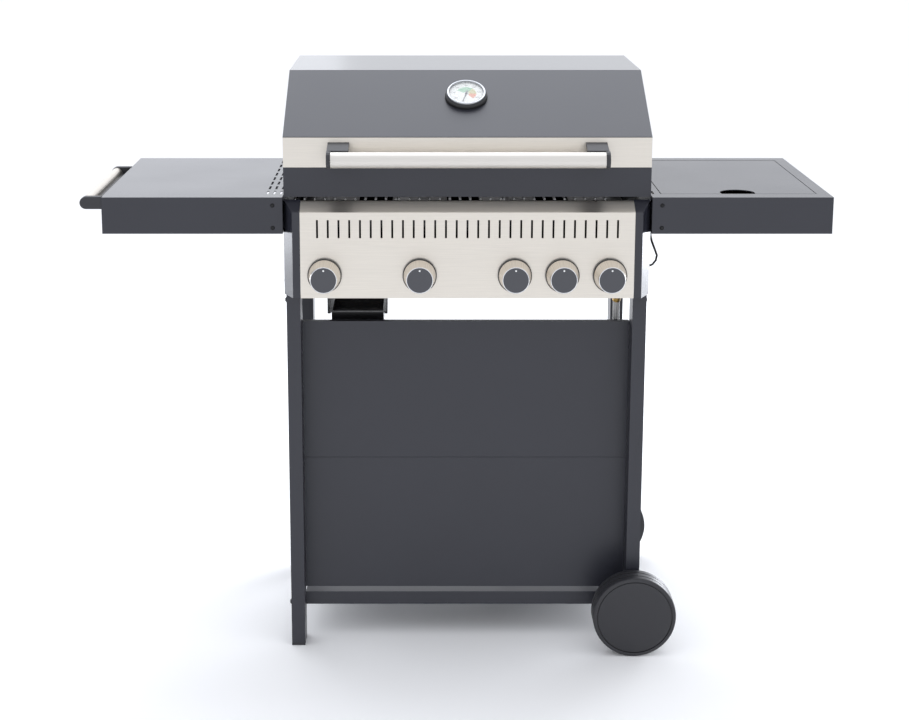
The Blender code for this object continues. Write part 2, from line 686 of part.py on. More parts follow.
def make_side_panels():
    """Sheets beside the firebox whose front corners are closed, chamfered and sloped on top."""
    top = LID_BOTTOM - GAP
    wall_y = TUB_FRONT - GAP
    wall_x = SIDE_INNER
    plan = [(PANEL_HALF + GAP, 0), (CORNER_IN, 0), (BODY_HALF, CORNER_DEPTH), (BODY_HALF, BOX_BACK),
            (wall_x, BOX_BACK), (wall_x, wall_y), (PANEL_HALF + GAP, wall_y)]
    lead_in = -5 * MM
    wedge = [(lead_in, slope_z(lead_in)), (CORNER_DEPTH, slope_z(CORNER_DEPTH)),
             (CORNER_DEPTH, LID_TOP), (lead_in, LID_TOP)]
    for side, sign in SIDES:
        name = f"side_panel_{side}"
        mesh = outline_mesh(name, [(sign * x, y) for x, y in plan], top - SIDE_BOTTOM)
        panel = place(name, mesh, DARK_PAINT, (0, 0, (top + SIDE_BOTTOM) / 2))
        slope = outline_mesh("corner_slope", wedge, BODY_HALF / 4)
        cut(panel, helper(f"corner_slope_{side}", slope, (sign * CORNER_IN, 0, 0), UPRIGHT_YZ))
        if side == "right":
            ends = (SIDE_INNER - SIDE_SHEET, BODY_HALF + SIDE_SHEET)
            holes = [((ends[0], LEAD_HOLE_Y, LEAD_HOLE_Z), (ends[1], LEAD_HOLE_Y, LEAD_HOLE_Z), LEAD_HOLE_R),
                     ((ends[0], FEED_HOLE_Y, FEED_HOLE_Z), (ends[1], FEED_HOLE_Y, FEED_HOLE_Z), FEED_HOLE_R)]
            cut(panel, helper("side_panel_drills", rods_mesh("side_panel_drills", holes)))


def make_control_panel():
    """Folded stainless face with a row of upright air slots and a hole for each valve stem."""
    profile = [(PANEL_TOP_DEPTH, PANEL_TOP_BACK), (0, PANEL_TOP_FRONT), (0, SIDE_BOTTOM),
               (PANEL_FLANGE, SIDE_BOTTOM)]
    inside = (PANEL_FLANGE, BURNER_Z)
    panel = place("control_panel", folded_mesh("control_panel", profile, -PANEL_HALF, PANEL_HALF, inside),
                  STAINLESS)
    solidify(panel, SHEET)
    slots = []
    for i in range(SLOT_COUNT):
        x = (i - (SLOT_COUNT - 1) / 2) * SLOT_PITCH
        slots.append(((x - SLOT_WIDTH / 2, -SHEET, SLOT_Z - SLOT_HEIGHT / 2),
                      (x + SLOT_WIDTH / 2, 3 * SHEET, SLOT_Z + SLOT_HEIGHT / 2)))
    cut(panel, helper("panel_slots", boxes_mesh("panel_slots", slots)))
    holes = [((x, -SHEET, BURNER_Z), (x, 3 * SHEET, BURNER_Z), STEM_R + SHEET) for x in VALVE_XS]
    cut(panel, helper("panel_drills", rods_mesh("panel_drills", holes)))


def make_gas_manifold():
    """Pipe with a valve body at each knob, a jet into each burner and the leaning inlet spud."""
    pipe = [((KNOB_XS[0] - VALVE_WIDTH, MANIFOLD_Y, MANIFOLD_Z),
             (SPUD_X + MANIFOLD_STUB, MANIFOLD_Y, MANIFOLD_Z), MANIFOLD_R)]
    manifold = place("gas_manifold", rods_mesh("gas_manifold", pipe, sides=16), BRASS)
    bodies = [((x - VALVE_WIDTH / 2, VALVE_FRONT, MANIFOLD_Z), (x + VALVE_WIDTH / 2, VALVE_BACK,
               BURNER_Z + VALVE_HEIGHT / 2)) for x in VALVE_XS]
    join(manifold, helper("valve_bodies", boxes_mesh("valve_bodies", bodies)))
    jets = [((x, VALVE_BACK - JET_LENGTH, BURNER_Z), (x, VALVE_BACK + JET_LENGTH, BURNER_Z), JET_R)
            for x in KNOB_XS]
    outlet_y = (VALVE_FRONT + VALVE_BACK) / 2
    jets.append(((SIDE_VALVE_X, outlet_y, BURNER_Z), (SIDE_VALVE_X, outlet_y, outlet_top()), JET_R))
    lean = Vector((0, math.sin(SPUD_TILT), -math.cos(SPUD_TILT)))
    inlet = Vector((SPUD_X, MANIFOLD_Y, MANIFOLD_Z))
    jets.append((inlet, inlet + lean * SPUD_LENGTH, SPUD_R))
    join(manifold, helper("manifold_fittings", rods_mesh("manifold_fittings", jets)))
    bores = [((x, VALVE_FRONT - SHEET, BURNER_Z), (x, VALVE_FRONT + STEM_DEPTH, BURNER_Z), STEM_R + GAP)
             for x in VALVE_XS]
    cut(manifold, helper("valve_bores", rods_mesh("valve_bores", bores)))


def outlet_top():
    """Top of the side valve's outlet fitting."""
    return BURNER_Z + VALVE_HEIGHT / 2 + JET_R


def make_knobs():
    """A stem turns in each valve body; the knob slides on it when pushed."""
    stem_back = VALVE_FRONT + STEM_DEPTH - GAP
    stem_front = stem_back - STEM_LENGTH
    bore = STEM_R + GAP
    bore_depth = -KNOB_LIFT - stem_front + KNOB_PUSH + GAP
    rim = 2.5 * MM
    skirt = 4 * MM
    profile = [(0, KNOB_LENGTH), (KNOB_FACE_R, KNOB_LENGTH), (KNOB_RIM_R, KNOB_LENGTH - rim / 2),
               (KNOB_RIM_R, KNOB_LENGTH - rim), (KNOB_BACK_R, skirt), (KNOB_BACK_R, 0), (bore, 0),
               (bore, bore_depth), (0, bore_depth)]
    for number, x in enumerate(VALVE_XS, 1):
        name = f"valve_stem_{number}"
        rod = rods_mesh(name, [((0, stem_back, 0), (0, stem_front, 0), STEM_R)])
        place(name, rod, BRASS, (x, 0, BURNER_Z))
        turned(f"knob_{number}", profile, PLASTIC, (x, -KNOB_LIFT, BURNER_Z), FORWARD)


def make_burners():
    """Four tubes with open mouths over the jets, joined by the carry-over tube that lights them."""
    end = TUB_LOW_BACK - TUB_SHEET - GAP
    length = end - BURNER_MOUTH_Y
    inner = BURNER_R - BURNER_WALL
    tubes = bmesh.new()
    for x in KNOB_XS:
        add_rod(tubes, (x, BURNER_MOUTH_Y, BURNER_Z), (x, end, BURNER_Z), BURNER_R, 16)
    burners = place("burner_set", mesh_from(tubes, "burner_set"), STAINLESS)
    cross = [((KNOB_XS[0], CARRY_OVER_Y, BURNER_Z), (KNOB_XS[-1], CARRY_OVER_Y, BURNER_Z), CARRY_OVER_R)]
    join(burners, helper("carry_over", rods_mesh("carry_over", cross)))
    mouths = [((x, BURNER_MOUTH_Y - BURNER_WALL, BURNER_Z), (x, BURNER_MOUTH_Y + length / 5, BURNER_Z), inner)
              for x in KNOB_XS]
    cut(burners, helper("burner_mouths", rods_mesh("burner_mouths", mouths, sides=16)))


def make_flame_tamers():
    """Roof-shaped sheets over the burners, resting on the firebox's front and rear shoulders."""
    base = TUB_SHOULDER + TUB_SHEET + GAP + TAMER_SHEET
    ends = (TUB_FRONT + TUB_SHEET + RIM_FLANGE / 2, BOX_BACK - TUB_SHEET - RIM_FLANGE / 2)
    profile = [(-TAMER_WIDTH / 2, base), (0, base + TAMER_RISE), (TAMER_WIDTH / 2, base)]
    for number, x in enumerate(KNOB_XS, 1):
        name = f"flame_tamer_{number}"
        mesh = folded_mesh(name, profile, ends[0], ends[1], (0, base))
        tamer = place(name, mesh, STAINLESS, (x, 0, 0), (0, 0, math.radians(90)))
        solidify(tamer, TAMER_SHEET)


def make_grates():
    """Three welded wire grates side by side, eleven rods each, on four cross bars."""
    width = (ROD_COUNT - 1) * ROD_PITCH
    pitch = width + 2 * ROD_R + GRATE_GAP
    for number in range(GRATE_COUNT):
        start = FIRST_ROD_X + number * pitch
        name = f"cooking_grate_{number + 1}"
        rods = [((i * ROD_PITCH, ROD_FRONT, ROD_Z), (i * ROD_PITCH, ROD_BACK, ROD_Z), ROD_R)
                for i in range(ROD_COUNT)]
        grate = place(name, rods_mesh(name, rods, sides=8), STAINLESS, (start, 0, 0))
        bars = [((0, y, BAR_Z), (width, y, BAR_Z), ROD_R) for y in CROSS_BAR_Y]
        join(grate, helper(f"grate_bars_{number + 1}", rods_mesh("grate_bars", bars, sides=8),
                           location=(start, 0, 0)))


def make_grease_tray():
    """A hanger under the firebox with two lips, and the tray whose rim slides on them."""
    half_rim = TRAY_WIDTH / 2 + TRAY_RIM
    rim_z = TRAY_TOP - SHEET
    wall = half_rim + 2 * GAP
    lip = wall - RUNNER_LIP
    top = TUB_BOTTOM - GAP - RUNNER_T
    lip_z = rim_z - GAP
    profile = [(lip, lip_z), (wall, lip_z), (wall, top), (-wall, top), (-wall, lip_z), (-lip, lip_z)]
    mesh = folded_mesh("grease_tray_hanger", profile, TRAY_FRONT, TRAY_FRONT + TRAY_LENGTH,
                       (0, rim_z + RUNNER_T))
    hanger = place("grease_tray_hanger", mesh, ENAMEL, (TRAY_X, 0, 0), (0, 0, math.radians(90)))
    solidify(hanger, RUNNER_T, offset=1)
    cut(hanger, helper("hanger_drain", drain_mesh()))
    half = TRAY_WIDTH / 2
    back = TRAY_FRONT + TRAY_LENGTH
    body = (-half, half, TRAY_FRONT + TRAY_RIM, back - TRAY_RIM)
    tray = dish_mesh("grease_tray", [(-half_rim, half_rim, TRAY_FRONT, back, rim_z), (*body, rim_z),
                                     (*body, TRAY_TOP - TRAY_HEIGHT)])
    solidify(place("grease_tray", tray, ENAMEL, (TRAY_X, 0, 0)), SHEET)


# ---- lid ------------------------------------------------------------------------------
SLANT = Vector((LID_RIDGE_Y - LID_FRONT, LID_TOP - LID_BAND_TOP))
SLANT_RUN = SLANT.normalized()
SLANT_OUT = Vector((-SLANT_RUN.y, SLANT_RUN.x))
SLANT_FOOT = Vector((LID_FRONT, LID_BAND_TOP))


def on_slant(along, out=0.0):
    """A (Y, Z) point on the slanted front: metres up from its foot, metres out of the panel."""
    return SLANT_FOOT + SLANT_RUN * along + SLANT_OUT * out


def make_lid_frame():
    """Two end plates set in by one skin's thickness, joined by the front rail."""
    skin = SHEET + GAP
    front = LID_FRONT + skin
    low_top = LID_RAIL_TOP - GAP
    inner = on_slant(0, -skin)
    slope = SLANT_RUN.y / SLANT_RUN.x
    top = LID_TOP - skin
    foot = (front, inner.y + (front - inner.x) * slope)
    ridge = (inner.x + (top - inner.y) / slope, top)
    step = LID_FRONT + SHEET / 3
    back = LID_BACK - skin
    plate_outline = [(step, LID_BOTTOM + GAP), (step, low_top - GAP), (front, low_top - GAP), foot, ridge,
                     (back, top), (back, LID_RAIL_TOP), (HINGE_Y + HINGE_HEAD_R, HINGE_Z - HINGE_HEAD_R),
                     (HINGE_Y - 2 * EAR_R, LID_BOTTOM + GAP)]
    rail = boxes_mesh("lid_frame", [((-LID_HALF, LID_FRONT, LID_BOTTOM),
                                     (LID_HALF, LID_FRONT + SHEET, low_top))])
    frame = place("lid_frame", rail, DARK_PAINT, parent=LID_AXIS)
    inner_x = TUB_HALF + GAP
    outer_x = LID_HALF - GAP / 3
    for side, sign in SIDES:
        plate = outline_mesh("lid_end", plate_outline, outer_x - inner_x)
        join(frame, helper(f"lid_end_{side}", plate, location=(sign * (inner_x + outer_x) / 2, 0, 0),
                           rotation=UPRIGHT_YZ))
    pin = [((-BODY_HALF, HINGE_Y, HINGE_Z), (BODY_HALF, HINGE_Y, HINGE_Z), HINGE_PIN_R + GAP)]
    cut(frame, helper("lid_pin_drill", rods_mesh("lid_pin_drill", pin, sides=16)))


def make_lid_skins():
    """The lid's three outer sheets: stainless band, slanted front, stainless top and back."""
    inside = (HINGE_Y / 2, HINGE_Z)
    band = [(LID_FRONT, LID_RAIL_TOP), (LID_FRONT, LID_BAND_TOP - GAP)]
    solidify(place("lid_band", folded_mesh("lid_band", band, -LID_HALF, LID_HALF, inside), STAINLESS,
                   parent=LID_AXIS), SHEET)
    fold = SHEET
    front = [tuple(on_slant(fold)), tuple(on_slant(SLANT.length - GAP))]
    panel = place("lid_front_panel", folded_mesh("lid_front_panel", front, -LID_HALF, LID_HALF, inside),
                  DARK_PAINT, parent=LID_AXIS)
    solidify(panel, SHEET)
    centre = on_slant(SLANT.length * THERMO_ALONG)
    low = centre - SLANT_OUT * THERMO_T
    high = centre + SLANT_OUT * THERMO_T
    drill = rods_mesh("probe_drill", [((0, *low), (0, *high), PROBE_R + SHEET)])
    cut(panel, helper("probe_drill", drill))
    cover = [(LID_RIDGE_Y + fold, LID_TOP), (LID_BACK, LID_TOP), (LID_BACK, LID_RAIL_TOP)]
    skin = folded_mesh("lid_top_panel", cover, -LID_HALF, LID_HALF, inside)
    solidify(place("lid_top_panel", skin, STAINLESS, parent=LID_AXIS), SHEET)


def make_hinge_pins():
    """A headed pin through each lid end plate into the firebox's ear."""
    inner = TUB_HALF - 2 * TUB_SHEET
    for side, sign in SIDES:
        name = f"lid_hinge_pin_{side}"
        outer = LID_HALF + HINGE_HEAD
        shaft = [((sign * inner, HINGE_Y, HINGE_Z), (sign * outer, HINGE_Y, HINGE_Z), HINGE_PIN_R)]
        pin = place(name, rods_mesh(name, shaft, sides=16), ZINC)
        head = [((sign * (LID_HALF + GAP), HINGE_Y, HINGE_Z),
                 (sign * (LID_HALF + GAP + HINGE_HEAD), HINGE_Y, HINGE_Z), HINGE_HEAD_R)]
        join(pin, helper(f"hinge_head_{side}", rods_mesh("hinge_head", head, sides=16)))


def make_lid_handle():
    """A round bar between two cheeks, each with a hood that reaches back to the band."""
    bar_half = HANDLE_HALF - CHEEK_T - GAP
    bar = rods_mesh("lid_handle_bar", [((-bar_half, 0, 0), (bar_half, 0, 0), HANDLE_R)], sides=24)
    place("lid_handle_bar", bar, STAINLESS, (0, HANDLE_Y, HANDLE_Z), parent=LID_AXIS)
    root = LID_FRONT - GAP
    round_end = arc((HANDLE_Y, HANDLE_Z), HANDLE_R + CHEEK_MARGIN, 60, 285, 12)
    cheek_outline = [(root, HOOD_TOP_Z)] + round_end + [(root, HANDLE_Z - HANDLE_R)]
    lip_y = HANDLE_Y + HANDLE_R - 2 * MM
    drop = HOOD_TOP_Z - HANDLE_Z - HANDLE_R - MM
    hood_outline = [(root - GAP / 3, HOOD_TOP_Z), (lip_y, HOOD_TOP_Z - drop),
                    (lip_y, HOOD_TOP_Z - drop - HOOD_T),
                    (root - GAP / 3, HOOD_TOP_Z - HOOD_T)]
    for side, sign in SIDES:
        name = f"lid_handle_bracket_{side}"
        cheek = outline_mesh(name, cheek_outline, CHEEK_T)
        spot = (sign * (HANDLE_HALF - CHEEK_T / 2), 0, 0)
        bracket = place(name, cheek, PLASTIC, spot, UPRIGHT_YZ, LID_AXIS)
        reach = HOOD_WIDTH - CHEEK_T / 2
        hood = outline_mesh("handle_hood", hood_outline, reach)
        join(bracket, helper(f"handle_hood_{side}", hood, rotation=UPRIGHT_YZ,
                             location=(sign * (HANDLE_HALF - CHEEK_T / 2 - reach / 2), 0, 0)))


def make_thermometer():
    """Dial housing on the slanted front with its probe through the panel, and the needle."""
    centre = on_slant(SLANT.length * THERMO_ALONG)
    tilt = math.atan2(-SLANT_OUT.x, SLANT_OUT.y) + THERMO_WEDGE
    spot = (0, *centre)
    foot = -THERMO_T / 2
    floor = THERMO_T - THERMO_RECESS
    profile = [(0, floor), (THERMO_RECESS_R, floor), (THERMO_RECESS_R, THERMO_T),
               (THERMO_R - MM, THERMO_T), (THERMO_R, THERMO_T - MM), (THERMO_R, foot), (0, foot)]
    housing = turned("thermometer", profile, DIAL, spot, (tilt, 0, 0), LID_AXIS, steps=32)
    slab = boxes_mesh("panel_plane", [((-2 * THERMO_R, -2 * THERMO_R, -2 * THERMO_T),
                                       (2 * THERMO_R, 2 * THERMO_R, GAP))])
    cut(housing, helper("panel_plane", slab, location=spot, rotation=(tilt - THERMO_WEDGE, 0, 0)))
    probe = rods_mesh("probe", [((0, 0, -PROBE_LENGTH), (0, 0, floor / 2), PROBE_R)])
    join(housing, helper("probe", probe, location=spot, rotation=(tilt, 0, 0)))
    lift = floor + 3 * GAP
    blade = boxes_mesh("thermometer_needle", [((-NEEDLE_T, -NEEDLE_TAIL, lift),
                                               (NEEDLE_T, NEEDLE_LENGTH, lift + NEEDLE_T))])
    blade.transform(Matrix.Rotation(NEEDLE_REST, 4, "Z"))
    needle = place("thermometer_needle", blade, PLASTIC, spot, (tilt, 0, 0), LID_AXIS)
    hub = rods_mesh("needle_hub", [((0, 0, floor + GAP), (0, 0, lift + 1.5 * NEEDLE_T), 3 * NEEDLE_T)])
    join(needle, helper("needle_hub", hub, location=spot, rotation=(tilt, 0, 0)))


# ---- side shelves ---------------------------------------------------------------------
def shelf_edge(sign):
    ends = sorted((sign * WING_IN, sign * WING_OUT))
    return (*ends, WING_FRONT, WING_BACK)


def vents(sign, columns):
    """Short slots in columns that run front to back beside the cook box."""
    slots = []
    for column in range(columns):
        x = sign * (WING_IN + VENT_FROM_BODY + column * VENT_COLUMN_PITCH)
        for row in range(VENT_ROWS):
            y = (WING_FRONT + WING_BACK) / 2 + (row - (VENT_ROWS - 1) / 2) * VENT_ROW_PITCH
            slots.append(((x - VENT_WIDTH / 2, y - VENT_LENGTH / 2, WING_TOP - 2 * SHEET),
                          (x + VENT_WIDTH / 2, y + VENT_LENGTH / 2, WING_TOP + SHEET)))
    return boxes_mesh("vents", slots)


def make_shelves():
    for (side, sign), columns in zip(SIDES, (VENT_COLUMNS, 1)):
        name = f"{side}_shelf"
        edge = shelf_edge(sign)
        mesh = dish_mesh(name, [(*edge, WING_TOP - WING_HEIGHT), (*edge, WING_TOP)])
        shelf = place(name, mesh, DARK_PAINT)
        solidify(shelf, SHEET)
        cut(shelf, helper(f"vents_{side}", vents(sign, columns)))
        if side == "right":
            low = (BURNER_LID_X - LID_GROOVE, BURNER_LID_FRONT - LID_GROOVE, WING_TOP - 2 * SHEET)
            high = (BURNER_LID_X + BURNER_LID_WIDTH + LID_GROOVE,
                    BURNER_LID_FRONT + BURNER_LID_DEPTH + LID_GROOVE_BACK, WING_TOP + SHEET)
            cut(shelf, helper("shelf_cut_out", boxes_mesh("shelf_cut_out", [(low, high)])))


def make_shelf_handle():
    """A round bar along the left shelf's end, held by a rounded arm at each end."""
    arm = GRIP_X - WING_OUT - GAP
    outline = arc((0, 0), GRIP_R, 90, 270, 10) + [(arm, -GRIP_R), (arm, GRIP_R)]
    ends = (("front", WING_FRONT), ("rear", WING_FRONT + GRIP_SPAN + GRIP_BRACKET))
    for row, front in ends:
        name = f"shelf_handle_bracket_{row}"
        place(name, outline_mesh(name, outline, GRIP_BRACKET), PLASTIC,
              (-GRIP_X, front + GRIP_BRACKET / 2, GRIP_Z), UPRIGHT_XZ)
    low = WING_FRONT + GRIP_BRACKET + GAP
    high = WING_FRONT + GRIP_BRACKET + GRIP_SPAN - GAP
    bar = rods_mesh("shelf_handle_bar", [((0, low, 0), (0, high, 0), GRIP_R - MM)], sides=20)
    place("shelf_handle_bar", bar, STAINLESS, (-GRIP_X, 0, GRIP_Z))


def make_side_burner():
    """Pan under the right shelf's cut-out with burner, feed tube, wire grid and flush lid."""
    rim = (PAN_LOW_X, PAN_HIGH_X, PAN_FRONT, PAN_BACK)
    dish = dish_mesh("side_burner_pan", [(*rim, PAN_TOP), (*rim, PAN_FLOOR)])
    pan = place("side_burner_pan", dish, STAINLESS)
    solidify(pan, PAN_SHEET)
    stub_r = 2 * FEED_R
    holes = [((PAN_LOW_X - SHEET, LID_PIN_Y, LID_PIN_Z), (PAN_HIGH_X + SHEET, LID_PIN_Y, LID_PIN_Z),
              LID_PIN_R + GAP),
             ((SIDE_BURNER_X, SIDE_BURNER_Y, PAN_FLOOR - SHEET), (SIDE_BURNER_X, SIDE_BURNER_Y,
              PAN_FLOOR + 2 * SHEET), stub_r + GAP)]
    cut(pan, helper("pan_drills", rods_mesh("pan_drills", holes)))
    base = PAN_FLOOR + PAN_SHEET + GAP
    radius = SIDE_BURNER_R
    rise = SIDE_BURNER_RISE
    profile = [(0, rise), (radius * 0.8, rise), (radius, rise * 0.7), (radius, rise * 0.4),
               (radius / 2, rise * 0.3), (radius / 2, 0), (0, 0)]
    burner = turned("side_burner", profile, STAINLESS, (SIDE_BURNER_X, SIDE_BURNER_Y, base))
    stub = rods_mesh("burner_stub", [((SIDE_BURNER_X, SIDE_BURNER_Y, FEED_HOLE_Z - FEED_R),
                                      (SIDE_BURNER_X, SIDE_BURNER_Y, base + rise / 3), stub_r)])
    join(burner, helper("burner_stub", stub))
    feed, _ = smooth_route(feed_route(), 3 * FEED_R)
    tube = tube_along("feed_tube_line", feed, FEED_R, None)
    mesh = as_mesh(tube)
    bpy.data.objects.remove(tube, do_unlink=True)
    join(burner, helper("feed_tube", mesh))
    make_side_burner_grid(base)
    make_side_burner_lid()


def feed_route():
    """From inside the burner's stub, under the shelf and into the control box to its valve."""
    valve_y = (VALVE_FRONT + VALVE_BACK) / 2
    z = FEED_HOLE_Z
    top = outlet_top()
    return [(SIDE_BURNER_X, SIDE_BURNER_Y, z + 2 * MM), (SIDE_BURNER_X - 40 * MM, SIDE_BURNER_Y - 22 * MM, z),
            (WING_IN + 60 * MM, FEED_HOLE_Y + 60 * MM, z), (WING_IN + 20 * MM, FEED_HOLE_Y + 10 * MM, z),
            (BODY_HALF, FEED_HOLE_Y, z), (LEG_X - 4 * MM, FEED_HOLE_Y - 4 * MM, z - MM),
            (LEG_INNER - 8 * MM, LEG_FRONT_Y + 62 * MM, z - 6 * MM),
            (LEG_INNER - 10 * MM, 72 * MM, z - 14 * MM),
            (TUB_LOW_HALF + 4 * MM, 50 * MM, z - 20 * MM), (TUB_LOW_HALF - 30 * MM, 34 * MM, z - 24 * MM),
            (SIDE_VALVE_X + 45 * MM, valve_y, top + 27 * MM),
            (SIDE_VALVE_X + 15 * MM, valve_y, top + 25 * MM),
            (SIDE_VALVE_X + 4 * MM, valve_y, top + 20 * MM), (SIDE_VALVE_X, valve_y, top + 13 * MM),
            (SIDE_VALVE_X, valve_y, top + 6 * MM), (SIDE_VALVE_X, valve_y, top + GAP)]


def make_side_burner_grid(base):
    """Wire trivet: parallel rods on two bars with four feet on the pan's floor."""
    radius = GRID_ROD / 2
    half = GRID_SIDE / 2
    top_z = WING_TOP - GRID_TOP_DROP - radius
    bar_z = top_z - GRID_ROD + BAR_SINK
    rods = []
    for i in range(GRID_RODS):
        x = -half + radius + i * (GRID_SIDE - GRID_ROD) / (GRID_RODS - 1)
        rods.append(((x, -half, top_z), (x, half, top_z), radius))
    spot = (SIDE_BURNER_X, SIDE_BURNER_Y, 0)
    grid = place("side_burner_grid", rods_mesh("side_burner_grid", rods, sides=8), ENAMEL, spot)
    reach = half * 0.8
    bars = [((-half, y, bar_z), (half, y, bar_z), radius) for y in (-reach, reach)]
    join(grid, helper("grid_bars", rods_mesh("grid_bars", bars, sides=8), location=spot))
    feet = [((x, y, base), (x, y, bar_z), radius * 0.9)
            for x in (-reach * 0.9, reach * 0.9) for y in (-reach, reach)]
    join(grid, helper("grid_feet", rods_mesh("grid_feet", feet, sides=8), location=spot))


def make_side_burner_lid():
    """Flush lid with a turned-down rim, a finger notch in front and two pins at the back."""
    axis = empty("side_lid_axis", (SIDE_BURNER_X, LID_PIN_Y, LID_PIN_Z), FRAME)
    edge = (BURNER_LID_X, BURNER_LID_X + BURNER_LID_WIDTH,
            BURNER_LID_FRONT, BURNER_LID_FRONT + BURNER_LID_DEPTH)
    mesh = dish_mesh("side_burner_lid", [(*edge, WING_TOP - BURNER_LID_RIM), (*edge, WING_TOP)])
    lid = place("side_burner_lid", mesh, DARK_PAINT, parent=axis)
    solidify(lid, SHEET)
    notch_y = BURNER_LID_FRONT + NOTCH_R / 3
    notch = rods_mesh("notch", [((SIDE_BURNER_X, notch_y, WING_TOP - 2 * BURNER_LID_RIM),
                                 (SIDE_BURNER_X, notch_y, WING_TOP + SHEET), NOTCH_R)], sides=24)
    cut(lid, helper("finger_notch", notch))
    pins = []
    for inner, outer in ((BURNER_LID_X, PAN_LOW_X), (BURNER_LID_X + BURNER_LID_WIDTH, PAN_HIGH_X)):
        way = 1 if outer > inner else -1
        pins.append(((inner - way * SHEET / 2, LID_PIN_Y, LID_PIN_Z),
                     (outer + way * SHEET, LID_PIN_Y, LID_PIN_Z), LID_PIN_R))
    join(lid, helper("lid_pins", rods_mesh("lid_pins", pins)))


# ---- hose and lead --------------------------------------------------------------------
def make_gas_hose():
    """Hose from the manifold's spud, down behind the front panels to the regulator."""
    lean = Vector((0, math.sin(SPUD_TILT), -math.cos(SPUD_TILT)))
    start = Vector((SPUD_X, MANIFOLD_Y, MANIFOLD_Z)) + lean * (SPUD_LENGTH + GAP)
    floor = SHELF_FLOOR_TOP + GAP
    middle = Vector((96 * MM, 236 * MM, 0))
    port_z = floor + REGULATOR_HEIGHT * 0.45
    port_x = middle.x + REGULATOR_R + 3 * HOSE_R
    route = [start, start + lean * 22 * MM,
             (0.277, 0.088, 0.646), (0.279, 0.1045, 0.618), (0.281, 0.1135, 0.585), (0.283, 0.118, 0.53),
             (0.284, 0.122, 0.46), (0.284, 0.126, 0.38), (0.282, 0.13, 0.3), (0.278, 0.136, 0.225),
             (0.268, 0.15, 0.16), (0.248, 0.172, 0.121), (0.222, 0.2, floor + 13 * MM),
             (0.192, 0.226, port_z - MM), (0.168, 0.2355, port_z), (port_x + 9 * MM, middle.y, port_z),
             (port_x + GAP, middle.y, port_z)]
    points, length = smooth_route(route, 4 * HOSE_R)
    tube_along("gas_hose", points, HOSE_R, BRAID)
    print("gas hose length", round(length, 4))
    profile = [(0, REGULATOR_HEIGHT), (REGULATOR_R * 0.35, REGULATOR_HEIGHT),
               (REGULATOR_R * 0.4, REGULATOR_HEIGHT * 0.8),
               (REGULATOR_R, REGULATOR_HEIGHT * 0.65), (REGULATOR_R, REGULATOR_HEIGHT * 0.25),
               (REGULATOR_R * 0.7, 0), (0, 0)]
    body = turned("gas_regulator", profile, ZINC, (middle.x, middle.y, floor))
    port = rods_mesh("regulator_port", [((middle.x, middle.y, port_z),
                                         (port_x, middle.y, port_z), HOSE_R * 0.9)])
    join(body, helper("regulator_port", port))


def make_ignition_lead():
    """Lead from the last valve through the side panel, in a loop outside, to the side burner."""
    valve_side = VALVE_XS[-1] + VALVE_WIDTH / 2 + GAP
    stub_side = SIDE_BURNER_X - 2 * FEED_R - GAP
    hole = Vector((BODY_HALF, LEAD_HOLE_Y, LEAD_HOLE_Z))
    under = PAN_FLOOR - 8 * MM
    route = [(valve_side, 0.031, BURNER_Z), (valve_side + 6 * MM, 0.031, BURNER_Z),
             (valve_side + 12 * MM, 0.0315, BURNER_Z), (0.288, 0.05, 0.723),
             (0.291, 0.074, 0.719), (0.298, 0.094, 0.717), (0.312, LEAD_HOLE_Y, 0.717), hole,
             hole + Vector((0.014, 0, 0.004)), hole + Vector((0.0225, -0.001, 0.019)),
             hole + Vector((0.016, -0.002, 0.038)), hole + Vector((0.01, -0.001, 0.056)),
             (WING_IN + 8 * MM, 0.101, WING_TOP - WING_HEIGHT), (WING_IN + 10 * MM, 0.106, under),
             (WING_IN + 30 * MM, 0.125, under), (WING_IN + 75 * MM, 0.165, under),
             (stub_side - 38 * MM, SIDE_BURNER_Y - 14 * MM, under),
             (stub_side - 16 * MM, SIDE_BURNER_Y, under),
             (stub_side, SIDE_BURNER_Y, under)]
    points, length = smooth_route(route, 5 * LEAD_R)
    tube_along("ignition_lead", points, LEAD_R, RUBBER)
    print("ignition lead length", round(length, 4))


make_legs()
make_bottom_shelf()
make_front_panels()
make_wheels()
make_firebox()
make_side_panels()
make_control_panel()
make_gas_manifold()
make_knobs()
make_burners()
make_flame_tamers()
make_grates()
make_grease_tray()
make_lid_frame()
make_lid_skins()
make_hinge_pins()
make_lid_handle()
make_thermometer()
make_shelves()
make_shelf_handle()
make_side_burner()
make_gas_hose()
make_ignition_lead()

for piece in grill.objects:
    if piece.type == "MESH":
        round_smooth(piece.data)
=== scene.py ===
# %% [markdown]
# # A gas barbecue grill, finished for rendering
# The grill's solids come from a CAD model: a cart of four rectangular tubes, a pressed steel
# cook box, a hinged lid, two folded shelves and the gas parts. This lesson keeps those solids
# as they are and gives them what a CAD model has not: real finishes, small parts, light.
# Everything is measured in metres, X to the grill's right, Y to its back, Z up.

# %% Load the frame
import json
import math
import bmesh
import bpy
from mathutils import Matrix, Vector


